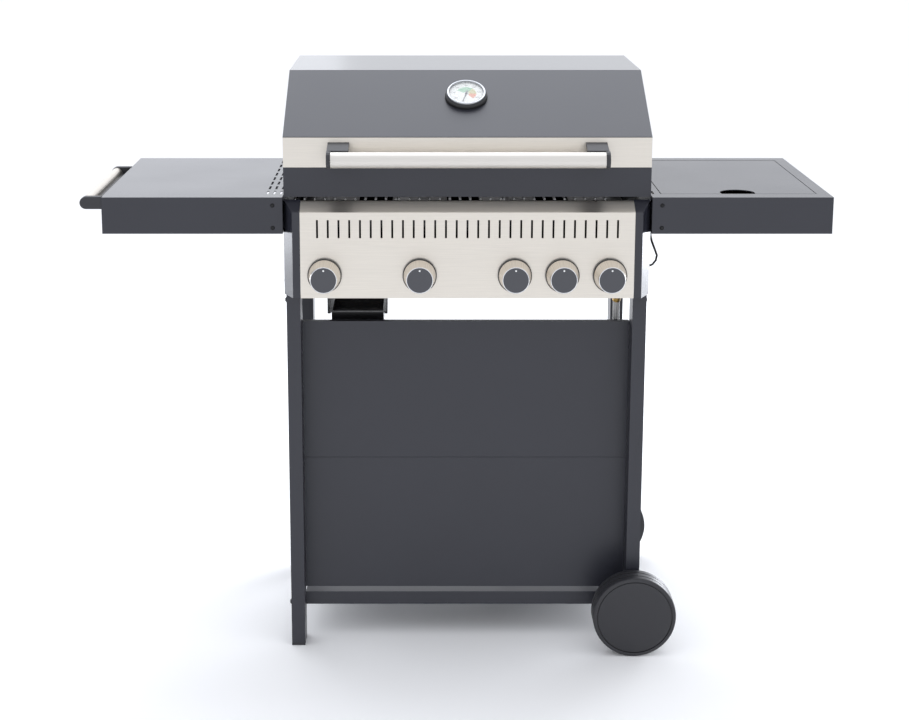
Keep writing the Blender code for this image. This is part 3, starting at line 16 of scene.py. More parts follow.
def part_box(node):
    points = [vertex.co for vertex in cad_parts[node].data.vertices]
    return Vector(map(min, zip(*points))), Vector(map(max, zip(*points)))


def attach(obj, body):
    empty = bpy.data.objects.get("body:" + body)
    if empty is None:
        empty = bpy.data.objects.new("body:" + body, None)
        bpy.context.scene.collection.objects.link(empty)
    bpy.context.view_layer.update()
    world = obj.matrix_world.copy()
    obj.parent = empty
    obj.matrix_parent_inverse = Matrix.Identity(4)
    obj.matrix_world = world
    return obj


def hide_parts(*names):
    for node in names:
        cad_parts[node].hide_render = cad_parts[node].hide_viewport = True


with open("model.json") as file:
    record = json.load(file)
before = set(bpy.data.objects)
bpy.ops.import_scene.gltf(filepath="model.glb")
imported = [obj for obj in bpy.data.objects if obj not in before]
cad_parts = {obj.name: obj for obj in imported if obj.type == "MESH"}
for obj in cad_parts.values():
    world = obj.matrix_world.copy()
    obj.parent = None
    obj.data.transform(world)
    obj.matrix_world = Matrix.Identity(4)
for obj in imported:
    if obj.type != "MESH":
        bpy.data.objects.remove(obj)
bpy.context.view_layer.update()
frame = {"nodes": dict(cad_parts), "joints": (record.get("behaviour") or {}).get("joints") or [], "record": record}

nodes = frame["nodes"]
MM = 0.001

# %% [markdown]
# ## Where things are
# Details are placed from the solids rather than from typed coordinates, so that a part that
# moves takes its details along. The control panel gives the two numbers used most: the middle
# of the cook box and the plane of its front.

# %% Reference points
panel_low, panel_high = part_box("control_panel")
MID_X = (panel_low.x + panel_high.x) / 2
FRONT_Y = panel_low.y
print("middle", round(MID_X, 4), "front", round(FRONT_Y, 4))

# %% [markdown]
# ## The camera
# A product picture of a grill is taken from a standing person's eye height with a longer lens,
# which keeps the front nearly square. The camera could be aimed at the grill by a constraint;
# plain numbers are easier to read and to change. It looks a little down, and a small lens shift
# places the grill in the frame instead of tilting the camera further.

# %% Camera
SENSOR_WIDTH, LENS = 36, 68.85
SHIFT_X, SHIFT_Y = 0.0355, -0.12
LEFT_OF_MIDDLE, BEFORE_FRONT, EYE_HEIGHT = 80.3 * MM, 3.025, 1.412
LOOK_DOWN = 11.99
camera_data = bpy.data.cameras.new("camera")
camera_data.sensor_width = SENSOR_WIDTH
camera_data.lens = LENS
camera_data.shift_x = SHIFT_X
camera_data.shift_y = SHIFT_Y
camera = bpy.data.objects.new("camera", camera_data)
camera.location = (MID_X - LEFT_OF_MIDDLE, FRONT_Y - BEFORE_FRONT, EYE_HEIGHT)
camera.rotation_euler = (math.radians(90 - LOOK_DOWN), 0, 0)
bpy.context.scene.collection.objects.link(camera)
bpy.context.scene.camera = camera
print("camera at", [round(v, 3) for v in camera.location])

# %% [markdown]
# ## The gas hose
# A low-pressure gas hose is a rubber tube under a light grey woven braid, about 13 mm across.
# It leaves the manifold's spud behind the panel, hangs down behind the front sheets and lies on
# the bottom shelf to the regulator. A Bezier curve would swing wide between its handles; a
# Catmull-Rom curve stays on the chosen points, and a poly line along it with a round bevel is
# a tube of an even width whose length can be measured.

# %% Smooth route
READINGS = 24


def smooth(points, step):
    """Points read at an even step along a Catmull-Rom curve through the given ones."""
    points = [Vector(p) for p in points]
    ends = [2 * points[0] - points[1]] + points + [2 * points[-1] - points[-2]]
    fine = []
    for a, b, c, d in zip(ends, ends[1:], ends[2:], ends[3:]):
        for i in range(READINGS):
            t = i / READINGS
            fine.append(0.5 * (2 * b + (c - a) * t + (2 * a - 5 * b + 4 * c - d) * t ** 2
                               + (3 * b - a - 3 * c + d) * t ** 3))
    fine.append(points[-1])
    length = sum((q - p).length for p, q in zip(fine, fine[1:]))
    count = max(2, round(length / step))
    result, walked = [fine[0]], 0
    for p, q in zip(fine, fine[1:]):
        piece = (q - p).length
        while (piece > 0 and walked + piece >= length / count * len(result)
               and len(result) < count):
            result.append(p.lerp(q, (length / count * len(result) - walked) / piece))
        walked += piece
    return result + [fine[-1]], length


print("a route is read", READINGS, "times between two points")

# %% Tube along a route
def tube(name, points, radius):
    """A round tube along the points, as a curve with capped ends.

    The bevel is one metre and each point scales it down to the radius, because Blender
    measures a curve's box with the points' own radius.
    """
    curve = bpy.data.curves.new(name, "CURVE")
    curve.dimensions = "3D"
    curve.bevel_depth = 1
    curve.bevel_resolution = 4
    curve.use_fill_caps = True
    spline = curve.splines.new("POLY")
    spline.points.add(len(points) - 1)
    for knot, point in zip(spline.points, points):
        knot.co = (*point, 1)
        knot.radius = radius
    piece = bpy.data.objects.new(name, curve)
    bpy.context.scene.collection.objects.link(piece)
    return piece


print("tube helper ready")

# %% Hose on its route
HOSE_R = 6.5 * MM
REGULATOR_HEIGHT, PORT_SHARE = 34 * MM, 0.45
SPUD_LENGTH, STRAIGHT_END = 20.3, 22
SPUD_ANGLE = math.radians(37)
floor_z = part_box("bottom_shelf")[1].z + 0.3 * MM
port_z = floor_z + REGULATOR_HEIGHT * PORT_SHARE
spud = Vector((0.275, 0.04, 0.7013))
lean = Vector((0, math.sin(SPUD_ANGLE), -math.cos(SPUD_ANGLE)))
start = spud + lean * SPUD_LENGTH * MM
body_route = [start, start + lean * STRAIGHT_END * MM,
              (0.277, 0.088, 0.646), (0.279, 0.1045, 0.618),
              (0.281, 0.1135, 0.585), (0.283, 0.118, 0.53), (0.284, 0.122, 0.46),
              (0.284, 0.126, 0.38), (0.282, 0.13, 0.3), (0.278, 0.136, 0.225),
              (0.268, 0.15, 0.16), (0.248, 0.172, 0.121), (0.222, 0.2, floor_z + 13 * MM),
              (0.192, 0.226, port_z - MM), (0.168, 0.2355, port_z), (0.1525, 0.236, port_z),
              (0.1438, 0.236, port_z)]
origin = Vector((MID_X, FRONT_Y, 0))
hose_points, hose_length = smooth([Vector(p) + origin for p in body_route], 3 * HOSE_R)
hose = tube("hose", hose_points, HOSE_R)
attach(hose, "cart")
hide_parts("gas_hose")
print("hose length", round(hose_length, 3))

# %% [markdown]
# ## Light and floor
# Kitchen and garden ware is shot on a white sweep, a paper that curves up behind it. A flat
# plane under a nearly white world gives the same even ground without a bend to hide. The big
# soft box overhead lights the roof and the shelf tops. One on each side, low and behind the
# grill, draws the bright edges on the lid's folds, and a faint one at the back lifts the lid's
# slope. Area lights are used because the sheets mirror them: a point lamp would show as a dot.

# %% Floor
FLOOR_REACH = 40
floor_mesh = bpy.data.meshes.new("floor")
floor_edit = bmesh.new()
bmesh.ops.create_grid(floor_edit, x_segments=1, y_segments=1, size=FLOOR_REACH)
floor_edit.to_mesh(floor_mesh)
floor_edit.free()
floor = bpy.data.objects.new("floor", floor_mesh)
floor.location.z = -0.5 * MM
bpy.context.scene.collection.objects.link(floor)
print("floor reaches", FLOOR_REACH, "m each way")

# %% Studio lights
DAYLIGHT = (0.94, 0.97, 1.04)


def soft_box(name, place, target, width, height, radiance):
    """A rectangular area light of an even brightness, aimed at a point."""
    data = bpy.data.lights.new(name, "AREA")
    data.shape = "RECTANGLE"
    data.size, data.size_y = width, height
    data.energy = radiance * math.pi * width * height
    data.color = DAYLIGHT
    lamp = bpy.data.objects.new(name, data)
    lamp.location = place
    lamp.rotation_euler = (Vector(target) - Vector(place)).to_track_quat("-Z", "Y").to_euler()
    bpy.context.scene.collection.objects.link(lamp)


soft_box("overhead", (0, 1.2, 3.2), (0, 0, 0.9), 3.2, 2.0, 2.3)
soft_box("left_rear", (-2.3, 2.4, 0.55), (0, 0, 0.75), 1.5, 1.0, 6.5)
soft_box("right_rear", (2.3, 2.4, 0.55), (0, 0, 0.75), 1.5, 1.0, 14.0)
soft_box("back_glow", (-1.3, 4.4, 1.75), (-0.5, 0, 0.86), 1.8, 1.3, 0.4)

# %% Studio walls
WALL_COLOUR, WALL_STRENGTH = (0.95, 0.97, 1.02, 1), 1.1
world = bpy.data.worlds.new("studio")
bpy.context.scene.world = world
world.use_nodes = True
walls = world.node_tree.nodes["Background"]
walls.inputs["Color"].default_value = WALL_COLOUR
walls.inputs["Strength"].default_value = WALL_STRENGTH
bpy.context.scene.view_settings.view_transform = "Standard"
print("walls at", WALL_STRENGTH)

# %% [markdown]
# ## Helpers for materials
# Hex colours are as the eye sees them on a screen; shaders want linear light, so one function
# turns one into the other. A second adds a node of any kind, with its settings and what feeds
# it. A third starts a material from the Principled shader with what is the same all over.

# %% Colour and node helpers
def linear(hex_colour):
    """A screen colour such as #2A2D33 as linear RGBA."""
    channels = [int(hex_colour[i:i + 2], 16) / 255 for i in (1, 3, 5)]
    return (*[c / 12.92 if c <= 0.04045 else ((c + 0.055) / 1.055) ** 2.4 for c in channels], 1)


def add_node(tree, kind, feeds=None, **settings):
    """Add a node, apply its settings, and set or link each named input."""
    made = tree.nodes.new(kind)
    for key, value in settings.items():
        setattr(made, key, value)
    for key, value in (feeds or {}).items():
        if isinstance(value, bpy.types.NodeSocket):
            tree.links.new(value, made.inputs[key])
        else:
            made.inputs[key].default_value = value
    return made


def new_material(name, colour, metallic, roughness, **more):
    """A material, its tree and its shader; more holds further constant sockets by name."""
    made = bpy.data.materials.new(name)
    made.use_nodes = True
    shader = made.node_tree.nodes["Principled BSDF"]
    shader.inputs["Base Color"].default_value = linear(colour)
    shader.inputs["Metallic"].default_value = metallic
    shader.inputs["Roughness"].default_value = roughness
    for key, value in more.items():
        shader.inputs[key.replace("_", " ")].default_value = value
    return made, made.node_tree, shader


print("material helpers ready")

# %% [markdown]
# ## Powder-coated steel
# The cart, the shelves and the lid's front are mild steel sheet, phosphated and sprayed with a
# dark grey polyester powder that melts into a satin film, IOR about 1.5. To the eye that is a
# deep grey with soft, slightly rippled reflections: an orange peel some 3 mm from crest to
# crest, a finer grain on it, and a tone that wanders over a hand's length. Noise bent into the
# normal is enough, since no crest stands out of the film. The wide flat sheets, which are the
# shelf tops, the burner's lid and the side panels, mirror more than the rest, so they get a
# second, smoother finish in the same colours.

# %% Powder coat
PEEL = 1 / (3 * MM)
HAND = 1 / (167 * MM)


def powder(name, dark, light, roughness):
    """Sprayed and baked polyester: orange peel over steel, in a slightly wandering tone."""
    made, tree, shader = new_material(name, dark, 0.0, roughness, IOR=1.52)
    place = add_node(tree, "ShaderNodeTexCoord").outputs["Object"]
    peel = add_node(tree, "ShaderNodeTexNoise", {"Vector": place, "Scale": PEEL, "Detail": 2.0})
    grain = add_node(tree, "ShaderNodeTexNoise", {"Vector": place, "Scale": 4 * PEEL,
                                                  "Detail": 1.0})
    cloud = add_node(tree, "ShaderNodeTexNoise", {"Vector": place, "Scale": HAND, "Detail": 3.0})
    tone = add_node(tree, "ShaderNodeMix", {"Factor": cloud.outputs["Fac"], "A": linear(dark),
                                            "B": linear(light)}, data_type="RGBA")
    tree.links.new(tone.outputs["Result"], shader.inputs["Base Color"])
    gloss = add_node(tree, "ShaderNodeMapRange", {"Value": cloud.outputs["Fac"],
                                                  "To Min": roughness - 0.03,
                                                  "To Max": roughness + 0.04})
    tree.links.new(gloss.outputs["Result"], shader.inputs["Roughness"])
    skin = add_node(tree, "ShaderNodeBump", {"Height": peel.outputs["Fac"], "Strength": 0.05,
                                             "Distance": 0.2 * MM})
    fine = add_node(tree, "ShaderNodeBump", {"Height": grain.outputs["Fac"], "Strength": 0.04,
                                             "Distance": 0.1 * MM,
                                             "Normal": skin.outputs["Normal"]})
    tree.links.new(fine.outputs["Normal"], shader.inputs["Normal"])
    return made


powder_coat = powder("powder_coated_steel", "#25262D", "#2A2B33", 0.36)
table_coat = powder("powder_coated_table", "#25262D", "#2A2B33", 0.21)
print("powder coats", powder_coat.name, table_coat.name)

# %% [markdown]
# ## Brushed stainless steel
# The band and the control panel are stainless sheet, brushed along their length with a belt of
# about 180 grit. It leaves scratches less than a tenth of a millimetre wide and some
# centimetres long, which to the eye are fine streaks and a reflection smeared across them. They
# are drawn 0.8 mm wide, about ten times as coarse, so that they show. Stretched noise does this
# on any face, where an image would need a map. A metal keeps the default IOR; its colour is
# the reflection itself, a warm light grey. The roof's copy is darker and smoother, as painted
# shade on the top under the overhead light; the handle's tube is satin, and the grates' and
# tamers' copy is painted dark brown, as the shade inside the cook box.

# %% Brushed stainless
SCRATCH_WIDTH, SCRATCH_LENGTH = 0.8 * MM, 60 * MM


def brushed(name, colour, roughness, along):
    """Brushed metal whose lines run along an axis: 0 is X, 1 is Y, 2 is Z."""
    made, tree, shader = new_material(name, colour, 1.0, roughness)
    place = add_node(tree, "ShaderNodeTexCoord").outputs["Object"]
    scale = [1 / SCRATCH_WIDTH] * 3
    scale[along] = 1 / SCRATCH_LENGTH
    stretched = add_node(tree, "ShaderNodeMapping", {"Vector": place, "Scale": scale})
    lines = add_node(tree, "ShaderNodeTexNoise", {"Vector": stretched.outputs["Vector"],
                                                  "Scale": 1.0, "Detail": 4.0})
    tint = add_node(tree, "ShaderNodeMapRange", {"Value": lines.outputs["Fac"], "To Min": 0.88,
                                                 "To Max": 1.08})
    shade = add_node(tree, "ShaderNodeMix", {"Factor": 1.0, "A": linear(colour),
                                             "B": tint.outputs["Result"]},
                     data_type="RGBA", blend_type="MULTIPLY")
    tree.links.new(shade.outputs["Result"], shader.inputs["Base Color"])
    rough = add_node(tree, "ShaderNodeMapRange", {"Value": lines.outputs["Fac"],
                                                  "To Min": roughness - 0.07,
                                                  "To Max": roughness + 0.07})
    tree.links.new(rough.outputs["Result"], shader.inputs["Roughness"])
    bump = add_node(tree, "ShaderNodeBump", {"Height": lines.outputs["Fac"], "Strength": 0.12,
                                             "Distance": 0.05 * MM})
    tree.links.new(bump.outputs["Normal"], shader.inputs["Normal"])
    return made


stainless = brushed("brushed_stainless_steel", "#DCD6CC", 0.34, 0)
# The roof's copy is darker: painted shade on the top under the overhead light.
roof_steel = brushed("roof_stainless_painted_shade", "#939394", 0.24, 0)
bar_steel = brushed("satin_stainless_tube", "#DAD6D0", 0.5, 0)
# Grates and tamers: painted shade, a dark brown copy of the steel for the inside of the cook box.
cook_box_shade_steel = brushed("stainless_painted_cook_box_shade", "#453F39", 0.4, 1)
print("steels", [m.name for m in (stainless, roof_steel, bar_steel, cook_box_shade_steel)])

# %% [markdown]
# ## Vitreous enamel, zinc, brass, plastics
# The firebox is dipped in black porcelain enamel and fired, a glassy coat with ripples about
# 6 mm long. Pins and the axle are zinc plated, pale and a little cloudy. The valves are
# machined brass, warm and bright. Wheels and feet are moulded polypropylene with a grain a
# little under a millimetre wide, which turns their gloss dull. All of these are one recipe, a
# tone that wanders over a grain of a real size, so one function makes them from numbers.

# %% Grained finishes
CLOUD = 1 / (111 * MM)


def grained(name, dark, light, metallic, roughness, grain_mm, depth_mm, strength=0.3, **more):
    """A finish whose colour wanders between two tones, over a grain of a real size."""
    made, tree, shader = new_material(name, dark, metallic, roughness, **more)
    place = add_node(tree, "ShaderNodeTexCoord").outputs["Object"]
    cloud = add_node(tree, "ShaderNodeTexNoise", {"Vector": place, "Scale": CLOUD, "Detail": 4.0})
    tone = add_node(tree, "ShaderNodeMix", {"Factor": cloud.outputs["Fac"], "A": linear(dark),
                                            "B": linear(light)}, data_type="RGBA")
    tree.links.new(tone.outputs["Result"], shader.inputs["Base Color"])
    rough = add_node(tree, "ShaderNodeMapRange", {"Value": cloud.outputs["Fac"],
                                                  "To Min": roughness * 0.85,
                                                  "To Max": roughness * 1.15})
    tree.links.new(rough.outputs["Result"], shader.inputs["Roughness"])
    grit = add_node(tree, "ShaderNodeTexNoise", {"Vector": place, "Scale": 1 / (grain_mm * MM),
                                                 "Detail": 2.0})
    bump = add_node(tree, "ShaderNodeBump", {"Height": grit.outputs["Fac"], "Strength": strength,
                                             "Distance": depth_mm * MM})
    tree.links.new(bump.outputs["Normal"], shader.inputs["Normal"])
    return made


enamel = grained("vitreous_enamel", "#0B0B0C", "#151516", 0.0, 0.2, 6, 0.2, IOR=1.5)
zinc = grained("zinc_plated_steel", "#A9ACB0", "#C6C8CA", 1.0, 0.33, 2, 0.05)
brass = grained("machined_brass", "#B08D4C", "#C9A766", 1.0, 0.3, 1, 0.03)
moulded = grained("moulded_polypropylene", "#26262A", "#2E2E32", 0.0, 0.46, 0.9, 0.12, IOR=1.49)
rubber = grained("black_rubber", "#121213", "#1B1B1C", 0.0, 0.7, 0.7, 0.1, IOR=1.52)
chrome = grained("chromed_steel", "#DADBDD", "#E6E7E8", 1.0, 0.12, 8, 0.02, strength=0.05)
print("finishes", [m.name for m in (enamel, zinc, brass, moulded, rubber, chrome)])

# %% [markdown]
# ## Which solid has which finish
# The record names a material slot for each solid, and each slot gets a finish made above. A
# few solids of one slot look different on the real grill and are named one by one. Pressed
# sheet never has a knife edge, so every solid gets a rolled edge that catches the light. A
# Bevel modifier does this and leaves the CAD mesh itself alone. It is tighter where the flush
# lid lies in its shelf, to keep the gap between them narrow.

# %% Assign finishes
FINISH_OF_SLOT = {"dark_grey_powder_coat": powder_coat, "brushed_stainless": stainless,
                  "black_enamel": enamel, "zinc_plated_steel": zinc, "dark_plastic": moulded,
                  "black_rubber": rubber, "brass": brass, "dial_white": chrome,
                  "grey_braid": rubber}
ROLLED, TIGHT, EDGE_ANGLE = 0.6 * MM, 0.25 * MM, 50
FINISH_OF_SOLID = {"lid_top_panel": roof_steel, "lid_handle_bar": bar_steel,
                   "left_shelf": table_coat, "right_shelf": table_coat,
                   "side_burner_lid": table_coat, "side_panel_left": table_coat,
                   "side_panel_right": table_coat}
FINISH_OF_SOLID |= {f"cooking_grate_{i}": cook_box_shade_steel for i in range(1, 4)}
FINISH_OF_SOLID |= {f"flame_tamer_{i}": cook_box_shade_steel for i in range(1, 5)}
for part in frame["record"]["subparts"]:
    solid = nodes[part["node"]]
    solid.data.materials.clear()
    finish = FINISH_OF_SOLID.get(part["node"], FINISH_OF_SLOT[part["material_slot"]])
    solid.data.materials.append(finish)
    edge = solid.modifiers.new("rolled_edges", "BEVEL")
    edge.width = TIGHT if part["node"] in ("right_shelf", "side_burner_lid") else ROLLED
    edge.segments = 2
    edge.limit_method = "ANGLE"
    edge.angle_limit = math.radians(EDGE_ANGLE)
floor.data.materials.append(new_material("white_sweep", "#FBFBFB", 0.0, 0.9)[0])

# %% [markdown]
# ## Helpers for meshes
# Turned parts, such as knobs, wheels and screws, come from a profile swept round an axis. A
# Screw modifier would do for one finish; here every profile point carries the number of the
# finish that the band after it has, so one knob can be plastic, nickel and paint. Each helper
# adds to a mesh being edited, so that many small parts can be one piece.

# %% Points and directions
def body_point(x, y, z):
    """A point given in millimetres from the panel's middle and front plane, in the frame."""
    return Vector((MID_X + x * MM, FRONT_Y + y * MM, z * MM))


def aim(place, out, up=(0, 0, 1)):
    """A matrix whose local Z points out and whose local Y leans to up."""
    z_axis = Vector(out).normalized()
    y_axis = (Vector(up) - z_axis * z_axis.dot(Vector(up))).normalized()
    turn = Matrix((y_axis.cross(z_axis), y_axis, z_axis)).transposed()
    return Matrix.Translation(place) @ turn.to_4x4()


print("origin", [round(v, 4) for v in body_point(0, 0, 0)])

# %% From an edited mesh to a piece
SHARP_ANGLE = 35


def emit(mesh_edit, name, finishes, body, matrix=None):
    """Turn a bmesh into a piece that rides on a body."""
    bmesh.ops.recalc_face_normals(mesh_edit, faces=mesh_edit.faces)
    mesh = bpy.data.meshes.new(name)
    mesh_edit.to_mesh(mesh)
    mesh_edit.free()
    for finish in finishes:
        mesh.materials.append(finish)
    mesh.shade_smooth()
    mesh.set_sharp_from_angle(angle=math.radians(SHARP_ANGLE))
    piece = bpy.data.objects.new(name, mesh)
    bpy.context.scene.collection.objects.link(piece)
    if matrix is not None:
        piece.matrix_world = matrix
    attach(piece, body)
    return piece


print("edges over", SHARP_ANGLE, "degrees stay sharp")

# %% Turned skins
def add_lathe(mesh_edit, profile, steps=64, matrix=None):
    """Sweep (radius, height, finish) points, in mm, round local Z into closed skin."""
    rings = []
    for radius, height, _ in profile:
        if radius <= 0:
            rings.append([mesh_edit.verts.new((0, 0, height * MM))])
            continue
        rings.append([mesh_edit.verts.new((radius * MM * math.cos(2 * math.pi * i / steps),
                                           radius * MM * math.sin(2 * math.pi * i / steps),
                                           height * MM)) for i in range(steps)])
    for (upper, lower), point in zip(zip(rings, rings[1:]), profile):
        for i in range(steps):
            j = (i + 1) % steps
            corners = [upper[i % len(upper)], upper[j % len(upper)],
                       lower[j % len(lower)], lower[i % len(lower)]]
            corners = list(dict.fromkeys(corners))
            if len(corners) > 2:
                mesh_edit.faces.new(corners).material_index = point[2]
    if matrix is not None:
        fresh = [v for ring in rings for v in ring]
        bmesh.ops.transform(mesh_edit, matrix=matrix, verts=fresh)


print("lathe ready")

# %% Blocks
def add_block(mesh_edit, low, high, finish=0, matrix=None):
    """A box between two corners, in mm."""
    made = bmesh.ops.create_cube(mesh_edit, size=1)["verts"]
    low, high = Vector(low) * MM, Vector(high) * MM
    bmesh.ops.scale(mesh_edit, verts=made, vec=high - low)
    bmesh.ops.translate(mesh_edit, verts=made, vec=(low + high) / 2)
    for face in {f for v in made for f in v.link_faces}:
        face.material_index = finish
    if matrix is not None:
        bmesh.ops.transform(mesh_edit, matrix=matrix, verts=made)


print("block ready")

# %% [markdown]
# ## Control knobs
# Each knob is a nickel-plated cup with a flared skirt, pressed over a dark plastic core whose
# flat end shows as a disc with one white dot. The dot points up when the gas is off. A black
# ring keeps the skirt off the panel; it is drawn wide, to paint the shade round the knob's foot
# as well. The plating was brushed from the face to the skirt, which draws fine rays; they follow
# the angle round the axis, so the noise is read along that angle.
# A real ray is hair-thin; these are 4 degrees, or about 2 mm, wide, so that they show.

# %% Knob finishes
NICKEL, RAY_DEGREES = "#F2EADF", 4
nickel, tree, shader = new_material("brushed_nickel_plate", NICKEL, 1.0, 0.28)
place = add_node(tree, "ShaderNodeTexCoord").outputs["Object"]
xyz = add_node(tree, "ShaderNodeSeparateXYZ", {"Vector": place})
around = add_node(tree, "ShaderNodeMath", {0: xyz.outputs["Y"], 1: xyz.outputs["X"]},
                  operation="ARCTAN2")
rays = add_node(tree, "ShaderNodeTexNoise", {"W": around.outputs["Value"],
                                             "Scale": 180 / RAY_DEGREES / math.pi,
                                             "Detail": 3.0}, noise_dimensions="1D")
tint = add_node(tree, "ShaderNodeMapRange", {"Value": rays.outputs["Fac"], "To Min": 0.74,
                                             "To Max": 1.1})
shade = add_node(tree, "ShaderNodeMix", {"Factor": 1.0, "A": linear(NICKEL),
                                         "B": tint.outputs["Result"]},
                 data_type="RGBA", blend_type="MULTIPLY")
tree.links.new(shade.outputs["Result"], shader.inputs["Base Color"])
core = grained("moulded_abs", "#3E3F44", "#46474C", 0.0, 0.42, 0.7, 0.05, IOR=1.53)
black = grained("black_abs", "#101011", "#18181A", 0.0, 0.4, 0.7, 0.05, IOR=1.53)
white = grained("white_marking", "#E8E8E6", "#F2F2F0", 0.0, 0.5, 2, 0.01)
print("knob finishes", [m.name for m in (nickel, core, black, white)])

# %% Knobs
KNOBS, DOT_FROM_AXIS = 5, 17 * MM
# Finish 2, black, is the ring at the foot, widened to paint the shade round it as well.
KNOB_PROFILE = [(0, 38.3, 0), (22.2, 38.3, 4), (22.5, 38.8, 4), (23.1, 39.0, 4), (23.7, 38.7, 1),
                (24.2, 37.6, 1), (24.8, 31, 1), (25.9, 21, 1), (27.4, 11, 1), (28.7, 4.8, 1),
                (29.0, 4.0, 2), (28.6, 3.4, 2), (30.4, 2.8, 2), (30.4, 0.2, 2), (4.3, 0.2, 2),
                (4.3, 22, 2), (0, 22, 2)]
for number in range(1, KNOBS + 1):
    low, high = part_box(f"knob_{number}")
    spot = Vector(((low.x + high.x) / 2, high.y, (low.z + high.z) / 2))
    edit = bmesh.new()
    add_lathe(edit, KNOB_PROFILE, steps=72)
    dot = Matrix.Translation((0, DOT_FROM_AXIS, 0))
    add_lathe(edit, [(0, 38.55, 3), (1.5, 38.5, 3), (1.7, 38.2, 3), (0, 38.2, 3)], 16, dot)
    knob = emit(edit, f"knob_{number}_shell", [core, nickel, black, white, chrome],
                f"knob_{number}", aim(spot, (0, -1, 0)))
    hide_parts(f"knob_{number}")
print("knobs", KNOBS)

# %% [markdown]
# ## Thermometer
# A bimetal dial sits in a black ring on the lid's slope. Its case is a polished steel bezel
# over a printed white disc: a scale of ticks, a green, an amber and a red sector, and a slim
# pointer. The disc's marks are thin raised shapes, because a shape survives any export; a
# texture would have to be painted. The glass lets the light through by its alpha, which also
# survives, and its skin still mirrors the studio.

# %% Dial finishes
dial_white = grained("printed_dial", "#D8DAD7", "#DEE0DC", 0.0, 0.45, 3, 0.01)
green = grained("dial_green", "#7FAE90", "#8AB89A", 0.0, 0.5, 3, 0.01)
amber = grained("dial_amber", "#B3AF7E", "#BCB889", 0.0, 0.5, 3, 0.01)
red = grained("dial_red", "#C98468", "#D08E73", 0.0, 0.5, 3, 0.01)
ink = grained("dial_ink", "#5A5A5C", "#646466", 0.0, 0.5, 3, 0.01)
bezel_steel = grained("polished_stainless", "#A4A6A9", "#B2B4B7", 1.0, 0.16, 8, 0.02,
                      strength=0.05)
lens_glass = new_material("dial_glass", "#FFFFFF", 0.0, 0.04, IOR=1.5, Alpha=0.12)[0]
print("dial finishes", [m.name for m in (dial_white, green, amber, red, ink)])

# %% Bezel and collar
turn = {joint["name"]: joint for joint in frame["joints"]}["thermometer_needle_turn"]
dial = aim(Vector(turn["pos_m"]), -Vector(turn["axis"]))
HOUSING_TOP = 13
BEZEL = [(31.2, HOUSING_TOP - 3.4, 0), (31.2, HOUSING_TOP - 0.4, 0), (32.0, HOUSING_TOP + 0.5, 0),
         (33.4, HOUSING_TOP + 0.9, 0), (34.8, HOUSING_TOP + 0.5, 0), (35.5, HOUSING_TOP - 0.6, 0),
         (35.7, HOUSING_TOP - 3.2, 0), (35.3, HOUSING_TOP - 3.2, 0), (31.2, HOUSING_TOP - 3.4, 0)]
edit = bmesh.new()
add_lathe(edit, BEZEL, steps=96)
# The collar is cut on a slant, so that its foot lies flat on the lid's sheet.
WEDGE = Matrix.Rotation(math.radians(-3.5), 4, "X")
add_lathe(edit, [(34.5, 8.6, 1), (36.9, 7.6, 1), (38.4, 5.4, 1), (38.9, 3.0, 1), (38.9, 0.2, 1),
                 (34.5, 0.2, 1), (34.5, 8.6, 1)], 96, WEDGE)
emit(edit, "thermometer_bezel", [bezel_steel, black], "lid", dial)
print("dial faces", [round(v, 3) for v in -Vector(turn["axis"])])

# %% Dial sectors
PRINT = 0.15


def add_sector(mesh_edit, inner, outer, start, end, height, finish, steps=24):
    """A thin ring sector on the dial: radii in mm, angles in degrees from its top, clockwise."""
    rows = []
    for i in range(steps + 1):
        angle = math.radians(90 - start - (end - start) * i / steps)
        rows.append([mesh_edit.verts.new((r * MM * math.cos(angle), r * MM * math.sin(angle),
                                          z * MM))
                     for r, z in ((inner, height), (outer, height), (outer, height - PRINT),
                                  (inner, height - PRINT))])
    for a, b in zip(rows, rows[1:]):
        for k in range(4):
            side = mesh_edit.faces.new((a[k], a[(k + 1) % 4], b[(k + 1) % 4], b[k]))
            side.material_index = finish
    for row in (rows[0], rows[-1]):
        mesh_edit.faces.new(row).material_index = finish


print("sectors stand", PRINT, "mm off the disc")

# %% Dial face
# The scale runs clockwise from SCALE_START degrees before the top, over SCALE_SWEEP degrees.
SCALE_START, SCALE_SWEEP, TICKS = 165, 285, 28
FACE = HOUSING_TOP - 3.7
edit = bmesh.new()
add_lathe(edit, [(0, FACE, 0), (31.1, FACE, 0), (31.1, FACE - 0.2, 0), (0, FACE - 0.2, 0)], 96)
for first, last, finish in ((-62, 38, 1), (38, 92, 2), (92, 140, 3)):
    add_sector(edit, 5, 18.5, first, last, FACE + PRINT, finish)
for i in range(TICKS + 1):
    at = -SCALE_START + i * SCALE_SWEEP / TICKS
    inner, half = (27, 0.9) if i % 4 == 0 else (28.4, 0.5)
    add_sector(edit, inner, 30.2, at - half, at + half, FACE + PRINT, 4, 1)
emit(edit, "thermometer_face", [dial_white, green, amber, red, ink], "lid", dial)
print("ticks", TICKS + 1)

# %% Dial numbers
NUMBERS, NUMBER_RING = 8, 23.2 * MM
for i in range(NUMBERS):
    at = math.radians(90 + SCALE_START - i * SCALE_SWEEP / (NUMBERS - 1))
    text = bpy.data.curves.new(f"dial_number_{i}", "FONT")
    text.body = str(50 * (i + 1))
    text.size = 4.6 * MM
    text.align_x = "CENTER"
    text.align_y = "CENTER"
    text.extrude = 0.06 * MM
    text.materials.append(ink)
    number = bpy.data.objects.new(f"dial_number_{i}", text)
    bpy.context.scene.collection.objects.link(number)
    number.matrix_world = dial @ Matrix.Translation((NUMBER_RING * math.cos(at),
                                                     NUMBER_RING * math.sin(at),
                                                     (FACE + 0.1) * MM))
    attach(number, "lid")
print("numbers", NUMBERS)

